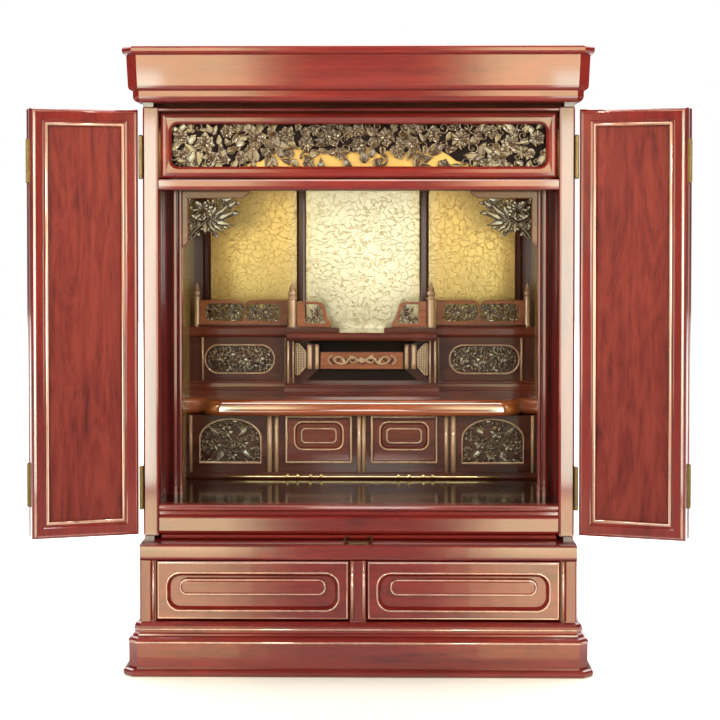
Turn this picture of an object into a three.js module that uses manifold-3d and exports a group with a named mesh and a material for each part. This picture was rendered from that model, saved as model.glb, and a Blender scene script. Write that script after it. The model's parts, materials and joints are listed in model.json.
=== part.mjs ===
// Household altar cabinet (table-top, rosewood), doors standing open.
// Millimetres, +Z up, front towards -Y, origin at the middle of the underside.
import * as THREE from 'three';
import { mergeVertices } from 'three/addons/utils/BufferGeometryUtils.js';
import Module from 'manifold-3d';

const wasm = await Module();
wasm.setup();

// ---------------------------------------------------------------- sizes
// Depths are measured back from the front face of the door posts (d = 0) and
// turned into y by Y(d), so that the whole cabinet is centred on the origin.
const DEPTH_MID = 133;              // depth that lies on y = 0
const Y = (d) => d - DEPTH_MID;

const HEIGHT = 610;                 // top of the cornice
const BODY_HALF = 212.8;            // half width of the case and of the body
const BACK = 312;                   // depth of the back face
const CASE_FRONT = -31;             // depth of the drawer case's front
const BASE_TOP = 51.5;              // top of the base moulding
const CASE_TOP = 126;               // top of the ledge below the doors
const CASE_RAIL = 15.3;             // thickness of the ledge board
const CASE_SIDE = 15.8;             // thickness of the drawer case's ends
const CORNICE_BOTTOM = 556;
const SIDE_T = 10;                  // thickness of the body's sides
const POST_W = 15.6;                // width of a door post
const POST_D = 18;                  // depth of a door post
const FLOOR_TOP = 159.2;            // altar floor
const CEILING = 546;                // underside of the ceiling board
const BACK_T = 6;                   // back boards

const DRAWER = { x0: 9, x1: 196.2, z0: 53, z1: 110, front: 14, depth: 250, wall: 7, floor: 5 };
const DOOR = { w: 105.2, t: 15, z0: 131.2, z1: 550.7, stile: 15.7, edge: 2.5 };
const DOOR_OPEN = 161.7;            // degrees from closed to the position built
const PIN_X = 214.3;                // door pin, outside the post
const PIN_D = -2.4;
const PIN_R = 2.2;
const FOLD_GAP = 2.5;               // fold pin stands this far off the leaves' outer faces
const HINGE_LEN = 41.3;
const NEAR_HINGES = [[483.5, 524.8], [157.0, 198.3]];
const FOLD_HINGES = [[479.0, 520.3], [162.3, 203.6]];

const WALL_X = 192;                 // face of the gilt side walls
const GOLD_BACK = 298;              // depth of the gilt back wall's face
const TIER = {
  lowFront: 195, shelfTop: 246.3, shelfBottom: 228.8, shelfFront: 183, shelfEnd: 205,
  shelfHalf: 152.5, sideFront: 232, sideTop: 323.8, sideMould: 311.8,
  midFront: 203, midTop: 318.5, midMould: 309.7, midHalf: 82.3, ledgeSide: 264, ledgeMid: 261.2,
};

// ---------------------------------------------------------------- finishes
const wood = (hex = 0x7a2a1e) => new THREE.MeshStandardMaterial({ color: hex, roughness: 0.28, metalness: 0 });
const darkWood = () => new THREE.MeshStandardMaterial({ color: 0x33150f, roughness: 0.35, metalness: 0 });
const gilt = () => new THREE.MeshStandardMaterial({ color: 0xd9ae5c, roughness: 0.4, metalness: 0.8 });
const brass = () => new THREE.MeshStandardMaterial({ color: 0xb8923f, roughness: 0.3, metalness: 1 });

// ---------------------------------------------------------------- geometry helpers
function bare(geo) {
  const g = geo.clone();
  g.deleteAttribute('normal');
  g.deleteAttribute('uv');
  g.clearGroups();
  // snap to a 0.2 micrometre grid first, so that shared corners are equal numbers
  const v = g.attributes.position.array;
  for (let i = 0; i < v.length; i++) v[i] = Math.round(v[i] * 5000) / 5000;
  return mergeVertices(g, 1e-4);
}
function solid(geo) {
  if (!geo.isBufferGeometry) return geo;
  const g = bare(geo);
  const m = new wasm.Manifold(new wasm.Mesh({
    numProp: 3,
    vertProperties: new Float32Array(g.attributes.position.array),
    triVerts: new Uint32Array(g.index.array),
  }));
  return m;
}
function geometry(man) {
  const mesh = man.getMesh();
  const g = new THREE.BufferGeometry();
  const n = mesh.numProp, count = mesh.vertProperties.length / n;
  const pos = new Float32Array(count * 3);
  for (let i = 0; i < count; i++) for (let k = 0; k < 3; k++) pos[3 * i + k] = mesh.vertProperties[n * i + k];
  g.setAttribute('position', new THREE.BufferAttribute(pos, 3));
  g.setIndex(new THREE.BufferAttribute(new Uint32Array(mesh.triVerts), 1));
  g.computeVertexNormals();
  return g;
}
const join = (...parts) => parts.flat().slice(1).reduce((a, b) => a.add(b), parts.flat()[0]);

// board between two corners given as (x, depth, z)
function board(x0, x1, d0, d1, z0, z1) {
  const g = new THREE.BoxGeometry(x1 - x0, d1 - d0, z1 - z0);
  g.translate((x0 + x1) / 2, Y((d0 + d1) / 2), (z0 + z1) / 2);
  return g;
}
// closed outline (x, z) standing upright, carried from depth d0 back to d1
function plate(shape, d0, d1, segs = 6) {
  if (shape.holes && shape.outer) {
    return shape.holes.reduce((m, h) => m.subtract(solid(plate(shapeOf(h), d0 - 1, d1 + 1))), solid(plate(shapeOf(shape.outer), d0, d1)));
  }
  const g = new THREE.ExtrudeGeometry(shape, { depth: d1 - d0, bevelEnabled: false, curveSegments: segs });
  g.rotateX(Math.PI / 2);            // (x, y, z) -> (x, -z, y)
  g.translate(0, Y(d1), 0);
  return g;
}
// outline in (depth, z) carried along x
function moulding(points, x0, x1) {
  const s = new THREE.Shape(points.map(([d, z]) => new THREE.Vector2(d, z)));
  const g = new THREE.ExtrudeGeometry(s, { depth: x1 - x0, bevelEnabled: false });
  // shape x -> depth, shape y -> z, extrusion -> x
  g.applyMatrix4(new THREE.Matrix4().set(0, 0, 1, x0, 1, 0, 0, Y(0), 0, 1, 0, 0, 0, 0, 0, 1));
  return g;
}
// outline in (x, depth) carried upright from z0 to z1
function column(points, z0, z1) {
  const s = new THREE.Shape(points.map(([x, d]) => new THREE.Vector2(x, Y(d))));
  const g = new THREE.ExtrudeGeometry(s, { depth: z1 - z0, bevelEnabled: false });
  g.translate(0, 0, z0);
  return g;
}
// A ring swept round a closed outline: rings[i] is one loop of [x, y, z] points
function sweptRing(rings) {
  const n = rings[0].length, m = rings.length, pos = [], idx = [];
  for (const r of rings) for (const p of r) pos.push(...p);
  for (let i = 0; i < m; i++) for (let j = 0; j < n; j++) {
    const a = i * n + j, b = i * n + (j + 1) % n, c = ((i + 1) % m) * n + (j + 1) % n, d = ((i + 1) % m) * n + j;
    idx.push(a, b, c, a, c, d);
  }
  const g = new THREE.BufferGeometry();
  g.setAttribute('position', new THREE.BufferAttribute(new Float32Array(pos), 3));
  g.setIndex(idx);
  return outward(g);
}
// closed stack of loops with flat ends
function stack(rings) {
  const n = rings[0].length, m = rings.length, pos = [], idx = [];
  for (const r of rings) for (const p of r) pos.push(...p);
  for (let i = 0; i + 1 < m; i++) for (let j = 0; j < n; j++) {
    const a = i * n + j, b = i * n + (j + 1) % n, c = (i + 1) * n + (j + 1) % n, d = (i + 1) * n + j;
    idx.push(a, b, c, a, c, d);
  }
  // flat ends, in the plane that the loops lie in
  const axis = [0, 1, 2].find((k) => rings[0].every((p) => Math.abs(p[k] - rings[0][0][k]) < 1e-9));
  const [u, v] = [[1, 2], [0, 2], [0, 1]][axis];
  for (const [r, flip] of [[0, true], [m - 1, false]]) {
    const loop = rings[r].map((p) => new THREE.Vector2(p[u], p[v]));
    const turned = THREE.ShapeUtils.isClockWise(loop);
    if (turned) loop.reverse();
    for (const t of THREE.ShapeUtils.triangulateShape(loop, [])) {
      const f = t.map((i) => r * n + (turned ? n - 1 - i : i));
      if (flip !== turned) f.reverse();
      idx.push(...f);
    }
  }
  const g = new THREE.BufferGeometry();
  g.setAttribute('position', new THREE.BufferAttribute(new Float32Array(pos), 3));
  g.setIndex(idx);
  return outward(g);
}
function outward(g) {
  const p = g.attributes.position.array, t = g.index.array;
  let v = 0;
  for (let i = 0; i < t.length; i += 3) {
    const [a, b, c] = [t[i] * 3, t[i + 1] * 3, t[i + 2] * 3];
    v += p[a] * (p[b + 1] * p[c + 2] - p[b + 2] * p[c + 1])
      - p[a + 1] * (p[b] * p[c + 2] - p[b + 2] * p[c])
      + p[a + 2] * (p[b] * p[c + 1] - p[b + 1] * p[c]);
  }
  if (v < 0) for (let i = 0; i < t.length; i += 3) [t[i], t[i + 1]] = [t[i + 1], t[i]];
  return g;
}
const mirrorX = (geo) => {
  const g = bare(geo);
  g.scale(-1, 1, 1);
  return outward(g);
};
// rounded rectangle as a loop of (x, z), k points a corner
function roundRect(cx, cz, hw, hh, r, k = 4) {
  const pts = [];
  for (const [sx, sz, a0] of [[1, 1, 0], [-1, 1, 90], [-1, -1, 180], [1, -1, 270]]) {
    for (let i = 0; i <= k; i++) {
      const a = (a0 + 90 * i / k) * Math.PI / 180;
      pts.push([cx + sx * (hw - r) + r * Math.cos(a), cz + sz * (hh - r) + r * Math.sin(a)]);
    }
  }
  return pts;
}
const shapeOf = (pts) => new THREE.Shape(pts.map(([x, z]) => new THREE.Vector2(x, z)));
// outline with openings right through it: cut from the full plate
const withHole = (outer, ...holes) => ({ outer, holes });
const rect = (x0, x1, z0, z1) => [[x0, z0], [x1, z0], [x1, z1], [x0, z1]];

// ---------------------------------------------------------------- ornament helpers
// leaf: pointed outline with lobed edges, from its stem at (x, z) along angle a
function leaf(x, z, a, len, wid, lobes = 2) {
  const pts = [], n = lobes * 2;
  const side = (s) => {
    const out = [];
    for (let i = 1; i < n; i++) {
      const t = i / n, w = wid / 2 * Math.sin(Math.PI * Math.pow(t, 0.8)) * (i % 2 ? 1 : 0.68);
      out.push([t * len, s * w]);
    }
    return out;
  };
  const raw = [[0, 0], ...side(-1), [len, 0], ...side(1).reverse()];
  for (const [u, v] of raw) pts.push([x + u * Math.cos(a) - v * Math.sin(a), z + u * Math.sin(a) + v * Math.cos(a)]);
  return shapeOf(pts);
}
// flower: scalloped round outline
function blossom(x, z, r, petals = 5) {
  const pts = [];
  for (let i = 0; i < petals * 2; i++) {
    const a = Math.PI * i / petals, q = r * (i % 2 ? 0.78 : 1);
    pts.push([x + q * Math.cos(a), z + q * Math.sin(a)]);
  }
  return shapeOf(pts);
}
// scrolling stem of even width through a list of points
function stem(points, w, steps = 24) {
  const c = new THREE.CatmullRomCurve3(points.map(([x, z]) => new THREE.Vector3(x, z, 0)));
  const l = [], r = [];
  for (let i = 0; i <= steps; i++) {
    const p = c.getPointAt(i / steps), t = c.getTangentAt(i / steps);
    l.push([p.x - t.y * w / 2, p.y + t.x * w / 2]);
    r.push([p.x + t.y * w / 2, p.y - t.x * w / 2]);
  }
  return shapeOf([...l, ...r.reverse()]);
}

// ---------------------------------------------------------------- scene graph
const cabinet = new THREE.Group();
cabinet.name = 'household_altar_cabinet';
function piece(name, geo, material, parent = cabinet) {
  const g = geo.isBufferGeometry ? bare(geo) : geometry(geo);
  g.computeVertexNormals();
  const m = new THREE.Mesh(g, material);
  m.name = name;
  parent.add(m);
  return m;
}
// builds a left-hand piece (negative x) and its mirrored right-hand twin
function pair(base, geo, material) {
  const g = geo.isBufferGeometry ? bare(geo) : geometry(geo);
  piece(`${base}_left`, g, material());
  piece(`${base}_right`, mirrorX(g), material());
}

// outline of base and cornice: straight at the back, front corners cut at 45 degrees
function caseLoop(p, z, cut) {
  const w = BODY_HALF + p, f = CASE_FRONT - p;
  return [[-w, Y(BACK), z], [-w, Y(f + cut), z], [-w + cut, Y(f), z], [w - cut, Y(f), z], [w, Y(f + cut), z], [w, Y(BACK), z]];
}

// ---------------------------------------------------------------- base
{
  // profile: rounded foot lip, tall plain band, upper step with a small flare
  const levels = [[0, 12.6, 8], [1.2, 14.4, 9], [2.8, 15, 9.5], [4.8, 15, 9.5], [6.4, 14.2, 9], [7.4, 12.4, 8.5], [7.6, 9.8, 8.5],
    [33.5, 10.3, 9], [36, 9.2, 8.5], [37.6, 7, 7], [37.8, 5.6, 6], [38.6, 6.4, 6], [40.2, 6, 6], [41.6, 4.6, 5.5],
    [47.5, 4.8, 5.5], [50, 3.6, 5], [51.5, 1.4, 4]];
  const outer = solid(stack(levels.map(([z, p, cut]) => caseLoop(p, z, cut))));
  // hollow under the base, behind mitred boards
  const hollow = solid(board(-BODY_HALF + 14, BODY_HALF - 14, CASE_FRONT + 14, BACK - 14, -1, BASE_TOP - 9));
  piece('base_moulding', outer.subtract(hollow), wood());
}

// ---------------------------------------------------------------- drawer case
{
  const x = BODY_HALF, t = CASE_SIDE, f = CASE_FRONT;
  // end board: rounded outer edge, then a quirk and a thin bead on the inner edge
  pair('case_side', column([
    [-x, BACK - BACK_T], [-x, f + 1.6], [-x + 0.6, f + 0.5], [-x + 1.8, f], [-x + 10.2, f], [-x + 11.6, f + 0.8], [-x + 12, f + 2.2],
    [-x + 12.6, f + 2.2], [-x + 12.9, f + 0.8], [-x + 13.7, f + 0.5], [-x + 14.5, f + 0.9], [-x + 14.8, f + 2.4], [-x + t, f + 2.6], [-x + t, BACK - BACK_T],
  ], BASE_TOP, CASE_TOP - CASE_RAIL), wood);
  const z1 = CASE_TOP, z0 = CASE_TOP - CASE_RAIL;
  piece('case_top', moulding([
    [BACK - BACK_T, z0], [BACK - BACK_T, z1], [f + 2.2, z1], [f + 0.7, z1 - 0.5], [f, z1 - 1.8], [f, z0 + 3.2], [f + 0.6, z0 + 1.4], [f + 2.4, z0],
  ], -x, x), wood());
  piece('case_divider', column([
    [-8.2, BACK - BACK_T], [-8.2, f + 1.8], [-7.6, f + 0.5], [-6.4, f], [6.4, f], [7.6, f + 0.5], [8.2, f + 1.8], [8.2, BACK - BACK_T],
  ], BASE_TOP, z0), wood());
}

// ---------------------------------------------------------------- drawers
// front with a sunk rounded field round a raised bar that serves as the pull
function drawer(name, x0, x1) {
  const D = DRAWER, f = CASE_FRONT, cx = (x0 + x1) / 2, zc = 80.3, zb = 84.8;
  const e = 1.4;
  const front = solid(stack([[e, f], [0.3, f + 0.7], [0, f + 1.8], [0, f + D.front]].map(([o, d]) =>
    [[x0 + o, Y(d), D.z0 + o], [x1 - o, Y(d), D.z0 + o], [x1 - o, Y(d), D.z1 - o], [x0 + o, Y(d), D.z1 - o]])));
  const loop = (c, z, hw, hh, r, d) => roundRect(c, z, hw, hh, r, 4).map(([x, zz]) => [x, Y(d), zz]);
  const field = solid(stack([[1.0, f - 0.5], [0, f + 0.6], [-1.4, f + 3.2], [-2.6, f + 4.6]].map(([o, d]) =>
    loop(cx, zc, 82.8 + o, 17.4 + o, 12 + o, d))));
  const bar = solid(stack([[-3.4, f + 0.4], [-1.6, f + 0.9], [-0.3, f + 2.2], [0, f + 3.6], [0, f + 6]].map(([o, d]) =>
    loop(cx, zb, 72.2 + o, 8.6 + o, 8.2 + o, d))));
  const b0 = x0 + 4, b1 = x1 - 4, z0 = D.z0 + 2, z1 = D.z1 - 8, d0 = f + D.front - 0.01, d1 = f + D.depth;
  const box = solid(board(b0, b1, d0, d1, z0, z1)).subtract(
    solid(board(b0 + D.wall, b1 - D.wall, f + D.front, d1 - D.wall, z0 + D.floor, z1 + 5)));
  piece(name, join(front.subtract(field), bar, box), wood());
}
drawer('drawer_left', -DRAWER.x1, -DRAWER.x0);
drawer('drawer_right', DRAWER.x0, DRAWER.x1);

// ---------------------------------------------------------------- body
{
  const x = BODY_HALF, t = SIDE_T;
  // side board with the door post glued to its front edge
  const side = solid(board(-x, -x + t, 5, BACK - BACK_T, CASE_TOP, CORNICE_BOTTOM));
  const post = solid(stack([[129.2, 1.0], [130.2, 0], [552.4, 0], [553.4, 1.0]].map(([z, o]) => {
    const a = -x + (o ? 0.6 : 0), b = -x + POST_W - (o ? 0.6 : 0), f = o;
    return [[a, Y(POST_D), z], [a, Y(f + 1.8), z], [a + 1.6, Y(f), z], [b - 2.6, Y(f), z], [b - 0.9, Y(f + 0.7), z], [b, Y(f + 2.2), z], [b, Y(POST_D), z]];
  })));
  pair('body_side', join(side, post), wood);
  piece('back_board', board(-x, x, BACK - BACK_T, BACK, BASE_TOP, CORNICE_BOTTOM), wood(0x4a2418));
  piece('ceiling_board', board(-x + t, x - t, 21, BACK - BACK_T, CEILING, CORNICE_BOTTOM), darkWood());
}

// ---------------------------------------------------------------- cornice
{
  const levels = [[556, 0.6, 5], [557.4, 3.4, 5.5], [559.6, 4.9, 6.4], [561.4, 5.3, 6.6], [566.8, 5.3, 6.6], [567.4, 6.4, 7], [568.2, 8.2, 8.5],
    [569.6, 9.6, 10], [571.6, 10, 10.4], [600.8, 11.4, 10.6],
    [601.6, 12.6, 10.4], [602.4, 14.1, 9.5], [604.4, 15, 10], [607.4, 15, 10], [609, 14.1, 9.5], [610, 12.2, 9]];
  const outer = solid(stack(levels.map(([z, p, cut]) => caseLoop(p, z, cut))));
  // hollow underneath, closed on top by the 8 mm top board
  const hollow = solid(board(-BODY_HALF + 8, BODY_HALF - 8, 16, BACK - 12, 540, HEIGHT - 8));
  piece('cornice', outer.subtract(hollow), wood());
}

// ---------------------------------------------------------------- rails, transom and sill
{
  const hx = 194.9, z0 = 484, z1 = 547.6;
  const cx = 0, cz = (z0 + z1) / 2, hh = (z1 - z0) / 2;
  const hole = { hw: 184.6, cz: 515.8, hh: 20.9, r: 6.5 };
  // frame round the transom: edges bevelled outside, opening rounded over
  const rings = [
    [0, 3.2, 0], [0, 15, 0], [1, 15, 3.4], [1, 8, 3.4], [1, 8, 0], [1, 4.5, 0], [1, 2.6, 1.2], [1, 1.4, 2.6], [0, 1.0, -5.2], [0, 1.5, -2.4],
  ];
  const k = 5, loops = [];
  for (const [inner, d, o] of rings) {
    if (inner) loops.push(roundRect(0, hole.cz, hole.hw + o, hole.hh + o, hole.r + o, k).map(([x, z]) => [x, Y(d), z]));
    else {
      // sharp outer rectangle with the same number of points as the rounded one
      const hw = hx + o * 0.9, h2 = hh + o * 0.9, pts = [];
      for (const [sx, sz] of [[1, 1], [-1, 1], [-1, -1], [1, -1]]) {
        for (let i = 0; i <= k; i++) {
          const u = (i - k / 2) / k * 0.02;
          const s1 = sx * sz > 0;
          pts.push([cx + sx * hw - sx * (s1 ? Math.max(0, u) : Math.max(0, -u)), Y(d), cz + sz * h2 - sz * (s1 ? Math.max(0, -u) : Math.max(0, u))]);
        }
      }
      loops.push(pts);
    }
  }
  piece('transom_frame', sweptRing(loops), wood());
  piece('frieze_strip', moulding([[12, 549.3], [12, 553.2], [2.2, 553.2], [1.2, 552.6], [0.8, 551.6], [1.0, 550.3], [2, 549.3]], -197.2, 197.2), wood());
  piece('lintel_rail', moulding([[14, 471.7], [14, 482.5], [2.4, 482.5], [1.1, 481.9], [0.5, 480.6], [0.4, 475.4], [0.8, 473.4], [1.8, 472.2], [3.2, 471.7]], -197.2, 197.2), wood());
  piece('sill_rail', moulding([
    [18, 131.3], [18, 160.3], [3.4, 160.3], [1.9, 159.8], [1, 158.6], [0.8, 157], [1.1, 155.4], [2, 154.4], [3.6, 153.8],
    [3.2, 153.2], [3, 150.4], [3.8, 149.6], [2.2, 149], [0.9, 148.3], [0.4, 147], [0.4, 134.6], [0.9, 132.8], [2.4, 131.3],
  ], -197.2, 197.2), wood());
}

// pierced peony transom and its gilt backing
{
  const z0 = 492.5, z1 = 538.5, zc = 515.5;
  const parts = [];
  const add = (shape, d0, d1) => parts.push(solid(plate(shape, d0, d1, 4)));
  // wavy main stem running the whole width, with top and bottom margins let into the frame
  parts.push(solid(plate(withHole(rect(-187.5, 187.5, z0, z1), roundRect(0, zc, 183.4, 20.2, 4, 2)), 9.2, 12)));
  const waves = 7, amp = 9;
  const wave = (x) => zc + amp * Math.sin((x / 187) * Math.PI * waves / 2);
  for (const s of [-1, 1]) {
    const pts = [];
    for (let i = 0; i <= 14; i++) { const x = s * (4 + i * 13); pts.push([x, wave(x) * 1]); }
    add(stem(pts, 4.2, 22), 8.6, 12);
  }
  const flowers = [-160, -98, -33, 33, 98, 160];
  for (const x of flowers) {
    add(blossom(x, wave(x) + 0.5, 12.6, 6), 7.2, 12);
    const s = Math.sign(x);
    add(leaf(x - 9 * s, wave(x) + 3, s > 0 ? 2.5 : 0.64, 25, 12), 8, 12);
    add(leaf(x + 8 * s, wave(x) - 3, s > 0 ? -0.64 : Math.PI + 0.64, 25, 12), 8, 12);
  }
  // the panel's edge lies in the frame's rebate, and its relief stands forward in the opening
  const trim = solid(plate(shapeOf(roundRect(0, 515.8, 187.5, 23, 9.2, 3)), 8.3, 13))
    .add(solid(plate(shapeOf(roundRect(0, 515.8, 184.2, 20.5, 6.1, 3)), 4, 9)));
  piece('transom_carving', join(parts).intersect(trim), darkWood());
  piece('transom_backing', board(-194.9, 194.9, 15, 17, 484, 547.6), gilt());
}

// ---------------------------------------------------------------- pull-out shelf
{
  piece('pullout_shelf', moulding([[250, 126.5], [250, 130.8], [1.4, 130.8], [0.2, 130.2], [-0.3, 129], [0, 127.4], [1.2, 126.5]], -195, 195), wood());
  // low brass bail lying forward on the ledge, with its two mounting bosses
  const boss = (x) => {
    const g = new THREE.LatheGeometry([[0, 0], [1.6, 0], [1.6, 0.7], [1, 1.3], [1, 2.6], [0, 2.6]].map(([r, h]) => new THREE.Vector2(r, h)), 8);
    g.rotateX(Math.PI);
    g.translate(x, Y(-0.35), 129.1);
    return solid(g);
  };
  const path = new THREE.CatmullRomCurve3([[-10.5, -2.2, 129.1], [-12.4, -5, 128.6], [-13.2, -11, 127.9], [-11.4, -18, 127.4], [-6, -20.4, 127.35],
    [0, -20.8, 127.35], [6, -20.4, 127.35], [11.4, -18, 127.4], [13.2, -11, 127.9], [12.4, -5, 128.6], [10.5, -2.2, 129.1]].map(([x, d, z]) => new THREE.Vector3(x, Y(d), z)));
  const ring = new THREE.Shape();
  for (let i = 0; i < 6; i++) { const a = i / 6 * 2 * Math.PI; ring[i ? 'lineTo' : 'moveTo'](0.95 * Math.cos(a), 0.95 * Math.sin(a)); }
  const bail = solid(new THREE.ExtrudeGeometry(ring, { steps: 18, extrudePath: path, bevelEnabled: false }));
  piece('shelf_pull', join(bail, boss(-10.5), boss(10.5)), brass());
}

// ---------------------------------------------------------------- altar room shell
{
  const w = BODY_HALF - SIDE_T;
  piece('altar_floor', board(-w, w, 18, BACK - BACK_T, 153.6, FLOOR_TOP), darkWood());
  // gilt side walls between the inner pillars and the back
  pair('gilt_side_wall', board(-WALL_X - 4, -WALL_X, 86, GOLD_BACK, FLOOR_TOP, CEILING), gilt);
  piece('gilt_back_wall', board(-WALL_X - 4, WALL_X + 4, GOLD_BACK, GOLD_BACK + 3, FLOOR_TOP, CEILING), gilt());
  // inner pillars: reeded shafts on two rings
  const reeds = (x0, z, grow) => {
    // a wide and a narrow reed side by side, parted at x0 + 6.5, with a thin flange back to the side board
    const pts = [], c = [[x0 + 3.3, 3.3, x0 - 2, x0 + 6.4], [x0 + 8.9, 2.3, x0 + 6.6, x0 + 14]];
    for (const [cx, r, lo, hi] of c) for (let i = 0; i <= 4; i++) {
      const a = Math.PI + Math.PI * i / 4;
      pts.push([Math.min(hi, Math.max(lo, cx + (r + grow) * Math.cos(a))), 76 + (r + grow) * 1.25 * Math.sin(a)]);
    }
    pts.push([x0 + 11 + grow, 84], [-BODY_HALF + SIDE_T + 0.3, 84], [-BODY_HALF + SIDE_T + 0.3, 80], [x0 - 0.2 - grow, 80]);
    return pts.map(([x, d]) => [x, Y(d), z]);
  };
  pair('inner_pillar', stack([[FLOOR_TOP, 0.9], [163.3, 0.9], [163.8, 0.2], [166.4, 0.2], [166.7, 0.9], [169.1, 0.9], [169.6, 0], [472, 0]]
    .map(([z, grow]) => reeds(-193.6, z, grow))), wood);
  piece('inner_lintel', board(-196, 196, 70, 84, 472, 486), wood());
  // slim pilasters in front of the gilt back wall
  pair('back_pilaster', column([[-75.5, GOLD_BACK], [-75.5, 292.5], [-74.3, 291.4], [-72.4, 290.6], [-68.2, 290.6], [-66.2, 291.4], [-65, 292.5], [-65, GOLD_BACK]], TIER.sideTop, CEILING), darkWood);
  pair('corner_pilaster', column([[-WALL_X, GOLD_BACK], [-WALL_X, 284], [-182, 284], [-181, 289], [-179.8, 288.2], [-176, 288.2], [-174.8, 289.6], [-173.6, 292], [-173.6, GOLD_BACK]], TIER.sideTop, CEILING), darkWood);
}

// carved corner brackets under the inner lintel
{
  const x0 = -182.4, z1 = 472, d0 = 75, d1 = 82;
  const frame = solid(plate(shapeOf([[x0, z1], [x0, 414], [x0 + 6, 419.5], [x0 + 6, z1 - 7.6], [x0 + 62, z1 - 7.6], [x0 + 69, z1 - 2], [x0 + 69, z1]]), d0, d1));
  const parts = [frame];
  const add = (shape, a = d0 + 1.4, b = d1) => parts.push(solid(plate(shape, a, b, 4)));
  add(stem([[x0 + 4, 421], [x0 + 14, 432], [x0 + 25, 443], [x0 + 40, 455], [x0 + 56, 461]], 3.6, 10));
  add(stem([[x0 + 4, 446], [x0 + 16, 443], [x0 + 27, 441]], 3, 6));
  add(blossom(x0 + 20, 453, 11.5, 6), d0 - 1.2);
  add(leaf(x0 + 27, 440, -0.28, 28, 11), d0 + 0.4);
  add(leaf(x0 + 26, 441, 0.5, 30, 10), d0 + 0.4);
  add(leaf(x0 + 34, 452, 0.25, 30, 10), d0 + 0.4);
  add(leaf(x0 + 26, 439, -1.2, 17, 8), d0 + 0.4);
  add(leaf(x0 + 22, 440, -2.2, 22, 8), d0 + 0.4);
  add(leaf(x0 + 6, 452, -1.0, 22, 10), d0 + 0.4);
  add(leaf(x0 + 7, 466, -0.25, 18, 9), d0 + 0.4);
  add(leaf(x0 + 32, 466, -0.15, 22, 8), d0 + 0.4);
  pair('corner_bracket', join(parts), darkWood);
}

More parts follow.
